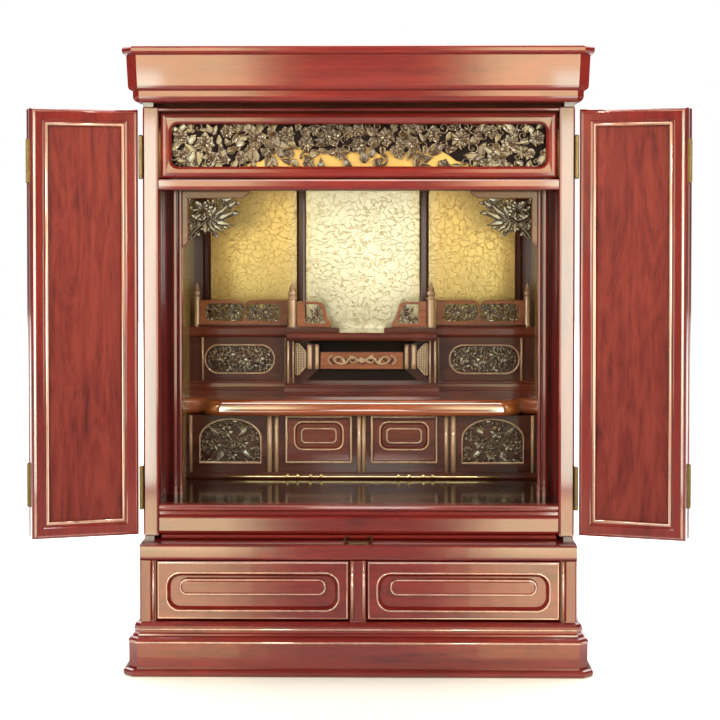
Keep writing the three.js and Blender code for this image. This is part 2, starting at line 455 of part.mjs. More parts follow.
// ---------------------------------------------------------------- lower tier
// upright front with two arched carved fields, openings for two small drawers, and reeded pilasters
const SMALL = { x0: 13.2, x1: 80.2, z0: 179.4, z1: 224.2, depth: 88, wall: 3.5, floor: 3 };
{
  const f = TIER.lowFront, zt = TIER.shelfBottom, zb = 166.3;
  const outline = rect(-WALL_X, WALL_X, FLOOR_TOP, zt);
  const holes = [-1, 1].map((s) => {
    const a = s < 0 ? -SMALL.x1 - 0.5 : SMALL.x0 - 0.5, b = s < 0 ? -SMALL.x0 + 0.5 : SMALL.x1 + 0.5;
    return rect(a, b, SMALL.z0 - 0.5, SMALL.z1 + 0.5);
  });
  let front = solid(plate(shapeOf(outline), f, f + 8));
  for (const h of holes) front = front.subtract(solid(plate(shapeOf(h), f - 1, f + 9)));
  const parts = [];
  const add = (g) => parts.push(solid(g));
  // plinth
  add(moulding([[f + 8, FLOOR_TOP], [f + 8, zb], [f - 3.6, zb], [f - 4.6, zb - 1.2], [f - 4.6, FLOOR_TOP + 1.8], [f - 3.4, FLOOR_TOP]], -WALL_X, WALL_X));
  // reeded pilasters, each a half round on the front
  const reed = (x0, x1, z0, z1, depth = 3) => {
    const c = (x0 + x1) / 2, r = (x1 - x0) / 2, pts = [[x1, f + 1], [x0, f + 1]];
    for (let i = 0; i <= 4; i++) { const a = Math.PI + Math.PI * i / 4; pts.push([c + r * Math.cos(a), f - depth * Math.abs(Math.sin(a)) * 1]); }
    return column(pts, z0, z1);
  };
  for (const s of [-1, 1]) {
    const R = (a, b, dep) => add(s < 0 ? reed(-b, -a, zb, zt, dep) : reed(a, b, zb, zt, dep));
    R(185.2, 188.6, 2.4); R(98, 102.8, 4); R(90.9, 94.7, 3);
    // arched field: raised edge round a sunk ground
    const a = 110, b = 177, zlo = 176.7, zhi = 224.6, cx = s * (a + b) / 2, hw = (b - a) / 2;
    const arch = (o) => {
      const pts = [[cx - hw - o, zlo - o], [cx + hw + o, zlo - o], [cx + hw + o, zhi - 22]];
      for (let i = 1; i < 10; i++) { const t = Math.PI * i / 10; pts.push([cx + (hw + o) * Math.cos(t), zhi - 22 + (22 + o) * Math.sin(t)]); }
      pts.push([cx - hw - o, zhi - 22]);
      return pts;
    };
    front = front.subtract(solid(plate(shapeOf(arch(0)), f - 1, f + 3)));
    add(plate(withHole(arch(1.6), arch(0)), f - 0.8, f + 1));
    // flowers and leaves in the field
    const relief = (shape, d) => add(plate(shape, d, f + 3.4, 3));
    relief(stem([[cx - 26 * s, zlo + 6], [cx - 12 * s, zlo + 18], [cx + 4 * s, zlo + 16], [cx + 20 * s, zlo + 30]], 2.6, 8), f + 1.2);
    for (const [u, v, r] of [[-4, 34, 8.5], [14, 22, 7.5], [-17, 20, 7.5], [2, 9, 6.5]]) {
      relief(blossom(cx + u * s, zlo + v, r, 5), f - 0.2);
    }
    for (const [u, v, ang, len] of [[-10, 30, 2.6, 16], [6, 30, 0.6, 17], [-8, 12, -2.2, 14], [14, 14, -0.8, 14]])
      relief(leaf(cx + u * s, zlo + v, s > 0 ? ang : Math.PI - ang, len, len * 0.5, 2), f + 1);
    // bead round the drawer opening
    const A = s < 0 ? -SMALL.x1 : SMALL.x0, B = s < 0 ? -SMALL.x0 : SMALL.x1;
    parts.push(solid(plate(shapeOf(rect(A - 3.6, B + 3.6, SMALL.z0 - 3.6, zt)), f - 2, f + 1))
      .subtract(solid(plate(shapeOf(rect(A - 0.5, B + 0.5, SMALL.z0 - 0.5, SMALL.z1 + 0.5)), f - 3, f + 2))));
  }
  for (const [a, b] of [[-4.6, -0.4], [0.4, 4.6]]) add(reed(a, b, zb, zt, 3));
  piece('lower_tier_front', join(front, parts), wood(0x5a2418));
  // small drawers behind it
  const little = (name, x0, x1) => {
    const S = SMALL, cx = (x0 + x1) / 2, zc = 206.2;
    const body = solid(board(x0, x1, f, f + 7, S.z0, S.z1));
    const loop = (hw, hh, r, d) => roundRect(cx, zc, hw, hh, r, 3).map(([x, z]) => [x, Y(d), z]);
    const groove = solid(stack([[0.6, f - 0.4], [0, f + 0.4], [-1.2, f + 2], [-2, f + 2.6]].map(([o, d]) => loop(25.6 + o, 14.2 + o, 8 + o, d))));
    const island = solid(stack([[-1.6, f + 0.3], [-0.4, f + 0.8], [0, f + 1.8], [0, f + 4]].map(([o, d]) => loop(20.2 + o, 9 + o, 5 + o, d))));
    const b0 = x0 + 1.5, b1 = x1 - 1.5, z0 = S.z0 + 1.5, z1 = S.z1 - 5;
    const box = solid(board(b0, b1, f + 6.9, f + S.depth, z0, z1)).subtract(solid(board(b0 + S.wall, b1 - S.wall, f + 7, f + S.depth - S.wall, z0 + S.floor, z1 + 3)));
    piece(name, join(body.subtract(groove), island, box), wood(0x5a2418));
  };
  little('small_drawer_left', -SMALL.x1, -SMALL.x0);
  little('small_drawer_right', SMALL.x0, SMALL.x1);
}

// ---------------------------------------------------------------- middle shelf
{
  // bowed plan: straight centre, quarter-round shoulders, ends set back
  const T = TIER, plan = (o) => {
    const pts = [[-WALL_X, GOLD_BACK], [-WALL_X, T.shelfEnd + o]];
    const rx = 22, ry = T.shelfEnd - T.shelfFront;
    for (let i = 0; i <= 5; i++) { const a = Math.PI / 2 * i / 5; pts.push([-(T.shelfHalf + rx - rx * (1 - Math.cos(a)) - o), T.shelfEnd - ry * Math.sin(a) + o]); }
    const right = pts.slice().reverse().map(([x, d]) => [-x, d]);
    return [...pts, ...right];
  };
  const half = (T.shelfTop - T.shelfBottom) / 2, mid = (T.shelfTop + T.shelfBottom) / 2;
  const levels = [[-1, 3.2], [-0.82, 1.3], [-0.45, 0.3], [0, 0], [0.45, 0.3], [0.82, 1.3], [1, 3.2]];
  const g = stack(levels.map(([u, o]) => plan(o).map(([x, d]) => [x, Y(d), mid + u * half])));
  piece('middle_shelf', g, wood());
}

// ---------------------------------------------------------------- upper tier
{
  const T = TIER, X = WALL_X, c = T.midHalf;
  const topEdge = (d, z0, z1, back, x0, x1) => solid(moulding([[back, z0], [back, z1], [d + 2.2, z1], [d + 0.6, z1 - 0.7], [d, z1 - 2.4], [d + 0.2, z0 + 3.4], [d + 1.4, z0 + 1.2], [d + 3.2, z0]], x0, x1));
  const shelf = join(
    topEdge(T.sideFront - 4, T.sideMould, T.sideTop, GOLD_BACK, -X, -c + 3),
    topEdge(T.sideFront - 4, T.sideMould, T.sideTop, GOLD_BACK, c - 3, X),
    topEdge(T.midFront, T.midMould, T.midTop, GOLD_BACK, -c, c),
  );
  piece('upper_shelf', shelf, wood(0x5a2418));

  // waist and side fields between the shelf and the plinth
  const f = T.sideFront, parts = [];
  const zc = 287.4;
  const add = (g) => parts.push(solid(g));
  for (const s of [-1, 1]) {
    const a = s < 0 ? -X : c + 0.1, b = s < 0 ? -c - 0.1 : X;
    const cx = s * (176.8 + 95.5) / 2;
    const oval = (o) => roundRect(cx, zc, 37.5 + o, 14.6 + o, 14 + o, 4);
    parts.push(solid(plate(shapeOf(rect(a, b, T.ledgeSide, T.sideMould)), f, f + 6)).subtract(solid(plate(shapeOf(oval(0)), f - 1, f + 2.6))));
    add(plate(withHole(oval(1.3), oval(0)), f - 0.7, f + 0.6));
    const relief = (shape, d) => add(plate(shape, d, f + 3, 3));
    relief(stem([[cx - 33 * s, zc - 3], [cx - 16 * s, zc + 5], [cx, zc - 4], [cx + 16 * s, zc + 5], [cx + 33 * s, zc - 2]], 2.2, 8), f + 1);
    for (const [u, v, r] of [[-20, 2, 6.5], [3, 0, 7.5], [22, 1, 6.5]]) { relief(blossom(cx + u * s, zc + v, r, 5), f - 0.2); }
    for (const [u, v, ang] of [[-13, 2, 0.5], [12, -2, -2.4]]) relief(leaf(cx + u * s, zc + v, s > 0 ? ang : Math.PI - ang, 11, 5.5, 2), f + 0.9);
    // upright fillets at the ends of the field
    const bar = (x0, x1, d0, z0, z1) => add(s < 0 ? board(-x1, -x0, d0, f + 2, z0, z1) : board(x0, x1, d0, f + 2, z0, z1));
    bar(175.4, 178.4, f - 2, T.ledgeSide, T.sideMould);
    bar(86, 90.6, f - 5, T.ledgeSide, T.sideMould);
    bar(184, 187.6, f - 0.8, T.ledgeSide, T.sideMould);
  }
  // centre: posts, half-octagon fret wings, double posts and the long scroll panel
  const m0 = T.ledgeMid, m1 = T.midMould;
  add(board(-c - 0.8, c + 0.8, f - 2, f + 4, m0, m1));
  for (const s of [-1, 1]) {
    const bar = (x0, x1, d0, d1, z0, z1) => add(s < 0 ? board(-x1, -x0, d0, d1, z0, z1) : board(x0, x1, d0, d1, z0, z1));
    bar(78.2, 82.2, 214, f, 268, m1);
    bar(74.4, 78.2, 216, f, 268, m1);
    bar(73.4, 82.6, 211, f, m0, 268);
    const fret = [[73.4, 271], [73.4, 306], [69.6, 306], [61.6, 297.4], [61.6, 280], [69.6, 271]].map(([x, z]) => [s * x, z]);
    add(plate(shapeOf(s < 0 ? fret.reverse() : fret), 217, 219.4));
    bar(66, 73.4, 219, f, 284, 293);
    bar(56.6, 61, 219.5, f, 277.2, 304.9);
    bar(47, 51.4, 219.5, f, 277.2, 304.9);
    bar(51, 57, 221, f, 277.2, 304.9);
  }
  add(board(-46, 46, 223.5, f, 277, 295.8));
  const swirl = (x, s) => add(plate(stem([[x, 283], [x + 4 * s, 289.6], [x + 8.4 * s, 286.6], [x + 12.6 * s, 283.2], [x + 16.6 * s, 288.8]], 1.9, 8), 222, 224));
  for (const s of [-1, 1]) { swirl(2 * s, s); swirl(18 * s, s); }
  add(plate(blossom(0, 286.4, 4.4, 5), 221.6, 224));
  const upper = join(parts);
  piece('upper_tier_front', upper, wood(0x4a1e14));

  // plinth with ledge, centre standing forward of the sides
  const step = (d, zt, x0, x1, back) => solid(moulding([[back, T.shelfTop], [back, zt], [d + 1, zt], [d, zt - 1], [d, zt - 2.6], [d + 1.4, zt - 3.6], [d + 1.8, zt - 7.6],
    [d + 0.6, zt - 8.6], [d + 0.6, zt - 10.4], [d + 2, zt - 11.4], [d + 2, T.shelfTop]], x0, x1));
  piece('upper_tier_plinth', join(
    step(T.sideFront - 4, T.ledgeSide, -X, -c - 1, 262), step(T.sideFront - 4, T.ledgeSide, c + 1, X, 262),
    step(T.midFront, T.ledgeMid, -c - 2.5, c + 2.5, 262)).subtract(solid(board(-c - 2.6, c + 2.6, 255, 270, 240, 266))), wood(0x4a1e14));
}

// railings with pierced wings, and newel posts with jewel finials
{
  const T = TIER;
  const newel = (x, d, z0, k) => {
    // eight-sided shaft, neck ring, jewel and bud
    const h = [[0, 0], [2.9, 0], [2.9, 30.6], [3.6, 31.2], [3.6, 32.6], [2.1, 33.6], [3.3, 37], [1.8, 40.4], [2.3, 42], [0, 49]];
    const g = new THREE.LatheGeometry(h.map(([r, z]) => new THREE.Vector2(r * k, z)), 8, Math.PI / 8);
    g.rotateX(Math.PI / 2);
    g.translate(x, Y(d), z0);
    return solid(g);
  };
  const z = T.sideTop, d = 236;
  // two wings whose shoulders curve down to meet in a dip
  const wingTop = (x0, x1, dipAt1) => {
    const top = z + 29.4, pts = [];
    for (let i = 0; i <= 5; i++) {
      const a = Math.PI / 2 * i / 5, rx = 9, rz = 9;
      const u = dipAt1 ? x1 - rx + rx * Math.sin(a) : x0 + rx - rx * Math.cos(a);
      const w = dipAt1 ? top - rz + rz * Math.cos(a) : top - rz + rz * Math.sin(a);
      pts.push([u, w]);
    }
    return pts;
  };
  const xa = -180.7, xm = -131.2, xb = -82.8;
  const left = [[xa, z + 1], [xa, z + 29.4], ...wingTop(xa, xm, true), ...wingTop(xm, xb, false).slice(1), [xb, z + 29.4], [xb, z + 1]];
  const holeL = roundRect(-152.6, z + 15.6, 19.8, 8.6, 5, 3), holeR = roundRect(-110.4, z + 15.6, 18.8, 8.6, 5, 3);
  const parts = [solid(plate(withHole(left, holeL, holeR), d - 1.6, d + 1.6)),
    newel(-184, d, z, 1.12), solid(board(xa - 3, xb, d - 3, d + 3, z, z + 2.2))];
  const scroll = (x, s) => {
    parts.push(solid(plate(stem([[x - 21 * s, z + 8], [x - 12 * s, z + 19], [x - 2 * s, z + 11], [x + 8 * s, z + 18], [x + 21 * s, z + 21]], 2.6, 8), d - 1.2, d + 1.2)));
    parts.push(solid(plate(blossom(x + 9 * s, z + 15.5, 6.6, 5), d - 1.8, d + 1.2)));
    parts.push(solid(plate(leaf(x - 4 * s, z + 12, s > 0 ? -0.5 : Math.PI + 0.5, 11, 6, 2), d - 1.4, d + 1.2)));
  };
  scroll(-152.6, 1); scroll(-110.4, -1);
  pair('side_railing', join(parts), darkWood);

  // centre wings on their own sole plates, with the inner newel posts
  const zm = T.midTop, zp = zm + 5.6, dm = 214;
  const sole = solid(board(-82.2, -24.7, 206, 222, zm, zp));
  const o = [[-71.4, zp], [-71.4, zp + 28.4], [-47, zp + 28.4], [-42, zp + 26], [-39, zp + 20], [-37.8, zp + 13], [-35, zp + 7.4], [-33.4, zp + 4.8], [-33.4, zp]];
  const hole = [[-66, zp + 5], [-66, zp + 24.2], [-50, zp + 24.2], [-45.6, zp + 21.4], [-43, zp + 14], [-40.8, zp + 8], [-38.4, zp + 5]];
  const w = [sole, solid(plate(withHole(o, hole), dm - 1.6, dm + 1.6)), newel(-76.4, dm, zp, 1.45),
    solid(board(-75, -70, dm - 1.2, dm + 1.2, zp, zp + 26)),
    solid(plate(stem([[-67, zp + 7], [-60, zp + 12], [-54, zp + 9], [-48, zp + 14], [-50, zp + 20], [-56, zp + 19]], 2.4, 9), dm - 1.2, dm + 1.2)),
    solid(plate(blossom(-50.5, zp + 13.6, 6.4, 5), dm - 1.8, dm + 1.2)),
    solid(plate(leaf(-46, zp + 12, -0.9, 9, 5, 2), dm - 1.4, dm + 1.2)),
    solid(plate(leaf(-52, zp + 16, 1.4, 9, 5, 2), dm - 1.4, dm + 1.2))];
  pair('centre_wing', join(w), darkWood);
}

// ---------------------------------------------------------------- doors
// Each side carries two leaves. The first turns on pins at the post; the second
// is hinged to its far edge and lies folded back behind it.
const rad = Math.PI / 180;
function doorFrame() {
  // loops round the leaf: offset inwards from the leaf's edge, and height off the inner face
  const D = DOOR, t = D.t;
  const prof = [[0, 3.6], [0.7, 1.8], [2.2, 0.5], [4.4, 0], [10.9, 0], [11.5, 0.7], [12.4, 0.9], [13.7, 1.6], [14.9, 2.8], [15.7, 4.4],
    [13, 4.4], [13, 10.6], [15.7, 10.6], [15.7, 12.8], [15.0, 14.2], [13.4, 14.6], [12, t], [1.8, t], [0.5, t - 0.7], [0, t - 1.8]];
  const w = D.w, h = D.z1 - D.z0;
  return sweptRing(prof.map(([o, n]) => [[o, n, o], [w - o, n, o], [w - o, n, h - o], [o, n, h - o]]));
}
function doorPanel() {
  const D = DOOR, w = D.w, h = D.z1 - D.z0, o = 13.3;
  const g = new THREE.BoxGeometry(w - 2 * o, 5.4, h - 2 * o);
  g.translate(w / 2, 7.5, h / 2);
  return g;
}
function barrel(len) {
  // barrel with small button ends
  const pts = [[0, -1], [1.5, -1], [PIN_R, 0], [PIN_R, len], [1.5, len + 1], [0, len + 1]];
  const g = new THREE.LatheGeometry(pts.map(([r, z]) => new THREE.Vector2(r, z)), 10);
  g.rotateX(Math.PI / 2);
  return g;
}
for (const side of [-1, 1]) {
  const tag = side < 0 ? 'left' : 'right';
  // leaf coordinates: u along the leaf from the pin, n from the inner face outwards
  // toWorld places a leaf lying at angle a from closed (0) on the pin at (px, pd)
  const place = (geo, px, pd, a, u0, n0, z0) => {
    const g = bare(geo);
    g.translate(u0, 0, 0);
    // closed: u -> towards the centre (x = side * (pin - u)), n -> towards the viewer
    const c = Math.cos(a), s = Math.sin(a);
    const m = new THREE.Matrix4().set(
      -side * c, side * s, 0, side * px,
      -s, -c, 0, Y(pd),
      0, 0, 1, z0,
      0, 0, 0, 1);
    g.translate(0, n0, 0);
    g.applyMatrix4(m);
    return outward(g);
  };
  const a = DOOR_OPEN * rad;
  // first leaf: inner face 1.8 behind the pin when closed
  const n1 = 1.8, u1 = DOOR.edge;
  // n runs outwards, so the inner face sits at n = -1.8 from the pin
  const leafA = (geo) => place(geo, PIN_X, PIN_D, a, u1, -n1, DOOR.z0);
  piece(`door_frame_inner_${tag}`, leafA(doorFrame()), wood(0x8a2f22));
  piece(`door_panel_inner_${tag}`, leafA(doorPanel()), wood(0x8a2f22));
  // fold pin in the first leaf's coordinates
  const fu = u1 + DOOR.w + 0.5, fn = -n1 + DOOR.t + FOLD_GAP;
  const c = Math.cos(a), s = Math.sin(a);
  const fx = side * PIN_X - side * c * fu + side * s * fn, fd = PIN_D - s * fu - c * fn;
  // folded leaf lies back along the first one: same direction reversed in depth order
  const folded = (geo) => {
    const g = bare(geo);
    // its own u runs from the fold edge; outer face towards the first leaf
    const v = g.attributes.position.array;
    for (let i = 0; i < v.length; i += 3) {
      const u = fu - 0.5 - v[i], n = fn + FOLD_GAP + (DOOR.t - v[i + 1]);
      const x = side * PIN_X - side * c * u + side * s * n, y = Y(PIN_D) - s * u - c * n;
      v[i] = x; v[i + 1] = y; v[i + 2] += DOOR.z0;
    }
    return outward(g);
  };
  piece(`door_frame_outer_${tag}`, folded(doorFrame()), wood(0x8a2f22));
  piece(`door_panel_outer_${tag}`, folded(doorPanel()), wood(0x8a2f22));
  NEAR_HINGES.forEach(([z0], i) => {
    const g = solid(barrel(HINGE_LEN).translate(side * PIN_X, Y(PIN_D), z0));
    const x0 = BODY_HALF + 0.05, x1 = BODY_HALF + 1.25;
    const p = solid(side < 0 ? board(-x1, -x0, PIN_D, 12, z0, z0 + HINGE_LEN) : board(x0, x1, PIN_D, 12, z0, z0 + HINGE_LEN));
    // keep the plate clear of the swinging leaf
    const cut = solid(side < 0 ? board(-x1 - 1, -x0 + 1, -20, PIN_D - 0.2, 0, 700) : board(x0 - 1, x1 + 1, -20, PIN_D - 0.2, 0, 700));
    piece(`post_hinge_${i ? 'lower' : 'upper'}_${tag}`, join(g, p.subtract(cut)), brass());
  });
  // fold hinges: barrel outside the leaves' outer faces, plate on the first leaf
  FOLD_HINGES.forEach(([z0], i) => {
    const g = solid(barrel(HINGE_LEN).translate(fx, Y(fd), z0));
    const plateBox = new THREE.BoxGeometry(15, 1.15, HINGE_LEN);
    plateBox.translate(fu - 7.5, fn - FOLD_GAP + 0.05 + 0.575 + n1, HINGE_LEN / 2);
    const p = solid(place(plateBox, PIN_X, PIN_D, a, 0, -n1, z0));
    piece(`fold_hinge_${i ? 'lower' : 'upper'}_${tag}`, join(g, p), brass());
  });
}

export default cabinet;
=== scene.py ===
import json
import math
import random
import bpy
import bmesh
import numpy as np
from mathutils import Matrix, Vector

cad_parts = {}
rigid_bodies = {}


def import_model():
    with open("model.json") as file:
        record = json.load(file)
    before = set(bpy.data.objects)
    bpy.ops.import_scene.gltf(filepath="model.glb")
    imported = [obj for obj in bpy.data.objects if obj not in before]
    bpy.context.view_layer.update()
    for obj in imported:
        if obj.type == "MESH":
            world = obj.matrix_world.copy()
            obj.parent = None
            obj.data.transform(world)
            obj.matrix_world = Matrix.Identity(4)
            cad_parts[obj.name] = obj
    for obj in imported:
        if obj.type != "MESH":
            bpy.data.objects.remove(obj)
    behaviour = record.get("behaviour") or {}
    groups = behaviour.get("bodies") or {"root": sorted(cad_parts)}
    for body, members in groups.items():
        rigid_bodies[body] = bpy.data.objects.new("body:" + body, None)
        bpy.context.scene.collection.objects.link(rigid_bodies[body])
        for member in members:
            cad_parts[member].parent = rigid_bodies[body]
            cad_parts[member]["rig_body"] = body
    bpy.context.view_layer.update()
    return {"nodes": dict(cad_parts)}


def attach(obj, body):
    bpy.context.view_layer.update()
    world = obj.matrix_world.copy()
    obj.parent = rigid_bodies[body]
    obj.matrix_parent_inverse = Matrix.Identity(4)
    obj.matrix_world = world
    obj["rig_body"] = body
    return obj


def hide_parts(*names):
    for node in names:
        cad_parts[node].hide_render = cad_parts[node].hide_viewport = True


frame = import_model()

# Depth d runs back from the front of the posts; the frame's y = 0 lies MID behind them.
MID = 133.0


def P(x, d, z):
    return Vector((x / 1000.0, (d - MID) / 1000.0, z / 1000.0))


# ------------------------------------------------------------------ materials
def new_material(name):
    m = bpy.data.materials.new(name)
    m.use_nodes = True
    m.node_tree.nodes.clear()
    return m, m.node_tree.nodes, m.node_tree.links


def node(nodes, kind, **values):
    n = nodes.new(kind)
    for k, v in values.items():
        setattr(n, k, v)
    return n


def ramp(nodes, stops, interpolation="LINEAR"):
    r = nodes.new("ShaderNodeValToRGB")
    r.color_ramp.interpolation = interpolation
    e = r.color_ramp.elements
    while len(e) < len(stops):
        e.new(0.5)
    for el, (p, c) in zip(e, stops):
        el.position = p
        el.color = (*c, 1.0) if len(c) == 3 else c
    return r


def wood(name, dark, mid, light, grain="Z", figure=1.0, rough=(0.24, 0.36), coat=0.9, bump=0.05, seed=0.0, gloss=0.14):
    """Lacquered rosewood: long streaks and a flowing figure along the grain, fine open pores, satin lacquer."""
    m, N, L = new_material(name)
    out = node(N, "ShaderNodeOutputMaterial")
    bsdf = node(N, "ShaderNodeBsdfPrincipled")
    L.new(bsdf.outputs[0], out.inputs[0])
    tc = node(N, "ShaderNodeTexCoord")
    along = {"X": 0, "Y": 1, "Z": 2}[grain]

    def mapped(across, length, shift=0.0):
        mp = node(N, "ShaderNodeMapping")
        s = [across] * 3
        s[along] = length
        mp.inputs["Scale"].default_value = s
        mp.inputs["Location"].default_value = (seed + shift, seed * 1.7 + shift, seed * 0.6)
        L.new(tc.outputs["Object"], mp.inputs[0])
        return mp

    # slow figure, drawn out along the grain
    fig = node(N, "ShaderNodeTexNoise")
    fig.inputs["Scale"].default_value = 1.0
    fig.inputs["Detail"].default_value = 5.0
    fig.inputs["Roughness"].default_value = 0.62
    fig.inputs["Distortion"].default_value = 1.6 * figure
    L.new(mapped(38, 7.5).outputs[0], fig.inputs[0])
    # annual streaks
    st = node(N, "ShaderNodeTexNoise")
    st.inputs["Scale"].default_value = 1.0
    st.inputs["Detail"].default_value = 8.0
    st.inputs["Roughness"].default_value = 0.7
    st.inputs["Distortion"].default_value = 0.5
    L.new(mapped(210, 9, 3.0).outputs[0], st.inputs[0])
    mix = node(N, "ShaderNodeMix", data_type="FLOAT")
    mix.inputs[0].default_value = 0.38
    L.new(fig.outputs[0], mix.inputs[2])
    L.new(st.outputs[0], mix.inputs[3])
    cr = ramp(N, [(0.30, dark), (0.44, mid), (0.60, light), (0.80, mid)])
    L.new(mix.outputs[0], cr.inputs[0])
    # pores: short dark dashes along the grain
    po = node(N, "ShaderNodeTexNoise")
    po.inputs["Scale"].default_value = 1.0
    po.inputs["Detail"].default_value = 2.0
    L.new(mapped(1500, 70, 9.0).outputs[0], po.inputs[0])
    pr = ramp(N, [(0.30, (0.45, 0.45, 0.45)), (0.44, (1.0, 1.0, 1.0))])
    L.new(po.outputs[0], pr.inputs[0])
    mul = node(N, "ShaderNodeMix", data_type="RGBA", blend_type="MULTIPLY")
    mul.inputs[0].default_value = 0.55
    L.new(cr.outputs[0], mul.inputs[6])
    L.new(pr.outputs[0], mul.inputs[7])
    L.new(mul.outputs[2], bsdf.inputs["Base Color"])
    rr = node(N, "ShaderNodeMapRange")
    rr.inputs["To Min"].default_value = rough[1]
    rr.inputs["To Max"].default_value = rough[0]
    L.new(mix.outputs[0], rr.inputs[0])
    L.new(rr.outputs[0], bsdf.inputs["Roughness"])
    bu = node(N, "ShaderNodeBump")
    bu.inputs["Strength"].default_value = bump
    bu.inputs["Distance"].default_value = 0.0002
    L.new(po.outputs[0], bu.inputs["Height"])
    L.new(bu.outputs[0], bsdf.inputs["Normal"])
    bsdf.inputs["Coat Weight"].default_value = coat
    bsdf.inputs["Coat Roughness"].default_value = 0.09
    bsdf.inputs["Specular IOR Level"].default_value = gloss
    return m


RED = ((0.032, 0.0024, 0.0020), (0.090, 0.0052, 0.0042), (0.130, 0.0098, 0.0070))
BROWN = ((0.010, 0.0020, 0.0010), (0.028, 0.0050, 0.0024), (0.050, 0.0110, 0.0050))
DARK = ((0.004, 0.0012, 0.0008), (0.010, 0.0030, 0.0018), (0.020, 0.0060, 0.0035))
case_x = wood("rosewood_long", *RED, grain="X", figure=0.5, seed=1.0)
case_z = wood("rosewood_upright", *RED, grain="Z", figure=0.5, seed=2.0)
panel = wood("rosewood_figured", (0.020, 0.0024, 0.0020), (0.088, 0.0088, 0.0070), (0.128, 0.0180, 0.0125), grain="Z", figure=2.2, rough=(0.34, 0.44), coat=0.15, seed=4.0)
frame_z = wood("rosewood_door_frame", *RED, grain="Z", figure=0.5, seed=5.0)
dark_x = wood("dark_rosewood_long", *BROWN, grain="X", figure=0.5, coat=0.45, seed=6.0)
dark_z = wood("dark_rosewood_upright", *BROWN, grain="Z", figure=0.5, coat=0.45, seed=7.0)
shelf_x = wood("rosewood_shelf", (0.018, 0.0028, 0.0015), (0.050, 0.0072, 0.0036), (0.085, 0.0160, 0.0072), grain="X", figure=0.5, seed=16.0)
nose_wood = wood("rosewood_bullnose", (0.060, 0.0090, 0.0030), (0.150, 0.0280, 0.0080), (0.220, 0.0480, 0.0140), grain="X", figure=0.5, coat=1.0, seed=17.0)
nose_wood.node_tree.nodes["Principled BSDF"].inputs["Coat IOR"].default_value = 2.1
# painted highlight: a lighter orange-brown wood on the beads of drawers, case, base and doors, standing in for the
# cream glint along their edges
edge_painted_highlight = wood("edge_lacquer_painted_highlight", (0.10, 0.030, 0.016), (0.20, 0.070, 0.040), (0.30, 0.120, 0.070), grain="Z", figure=0.5, rough=(0.20, 0.28), coat=1.0, seed=18.0)
edge_painted_highlight.node_tree.nodes["Principled BSDF"].inputs["Coat IOR"].default_value = 2.4
plain = wood("plain_board", (0.03, 0.010, 0.006), (0.07, 0.024, 0.013), (0.11, 0.04, 0.022), grain="X", figure=1.0, rough=(0.5, 0.65), coat=0.0, seed=8.0)
floor_wood = wood("altar_floor_lacquer", *DARK, grain="X", figure=0.5, rough=(0.12, 0.18), coat=0.5, bump=0.03, seed=9.0)
tier = wood("tier_rosewood", *BROWN, grain="X", figure=0.6, rough=(0.30, 0.40), coat=0.35, bump=0.04, seed=11.0)
carved = wood("carved_rosewood", (0.008, 0.0028, 0.0014), (0.020, 0.0075, 0.0030), (0.042, 0.0180, 0.0070), grain="X", figure=0.6, rough=(0.14, 0.22), coat=0.5, bump=0.04, seed=10.0)
# painted shade: a near-black, matt board colour for sheets set where the carving and the friezes lie in shade
painted_shade_board = wood("painted_shadow_ground", (0.002, 0.0010, 0.0008), (0.004, 0.0016, 0.0012), (0.007, 0.0030, 0.0020), grain="X", figure=0.5, rough=(0.75, 0.85), coat=0.0, seed=13.0)
painted_shade_board.node_tree.nodes["Principled BSDF"].inputs["Specular IOR Level"].default_value = 0.12
# painted highlight: a light tan wood on reeds, newels, round posts and tier beads, standing in for the cream glint
# along their rounded faces
reed_painted_highlight = wood("reed_lacquer_painted_highlight", (0.10, 0.055, 0.032), (0.20, 0.120, 0.075), (0.30, 0.190, 0.125), grain="Z", figure=0.5, rough=(0.22, 0.30), coat=1.0, seed=15.0)
board_wood = wood("cartouche_wood", (0.06, 0.018, 0.008), (0.12, 0.036, 0.015), (0.17, 0.058, 0.024), grain="X", figure=1.0, rough=(0.30, 0.40), coat=0.3, seed=14.0)
carved.node_tree.nodes["Principled BSDF"].inputs["Specular Tint"].default_value = (1.0, 0.84, 0.64, 1)
carved.node_tree.nodes["Principled BSDF"].inputs["Specular IOR Level"].default_value = 0.55
light_wood = wood("light_fret_wood", (0.16, 0.11, 0.07), (0.24, 0.17, 0.11), (0.32, 0.24, 0.16), grain="Z", figure=0.6, rough=(0.30, 0.40), coat=0.4, seed=12.0)

pale_carved = board_wood
carved_gilt = carved


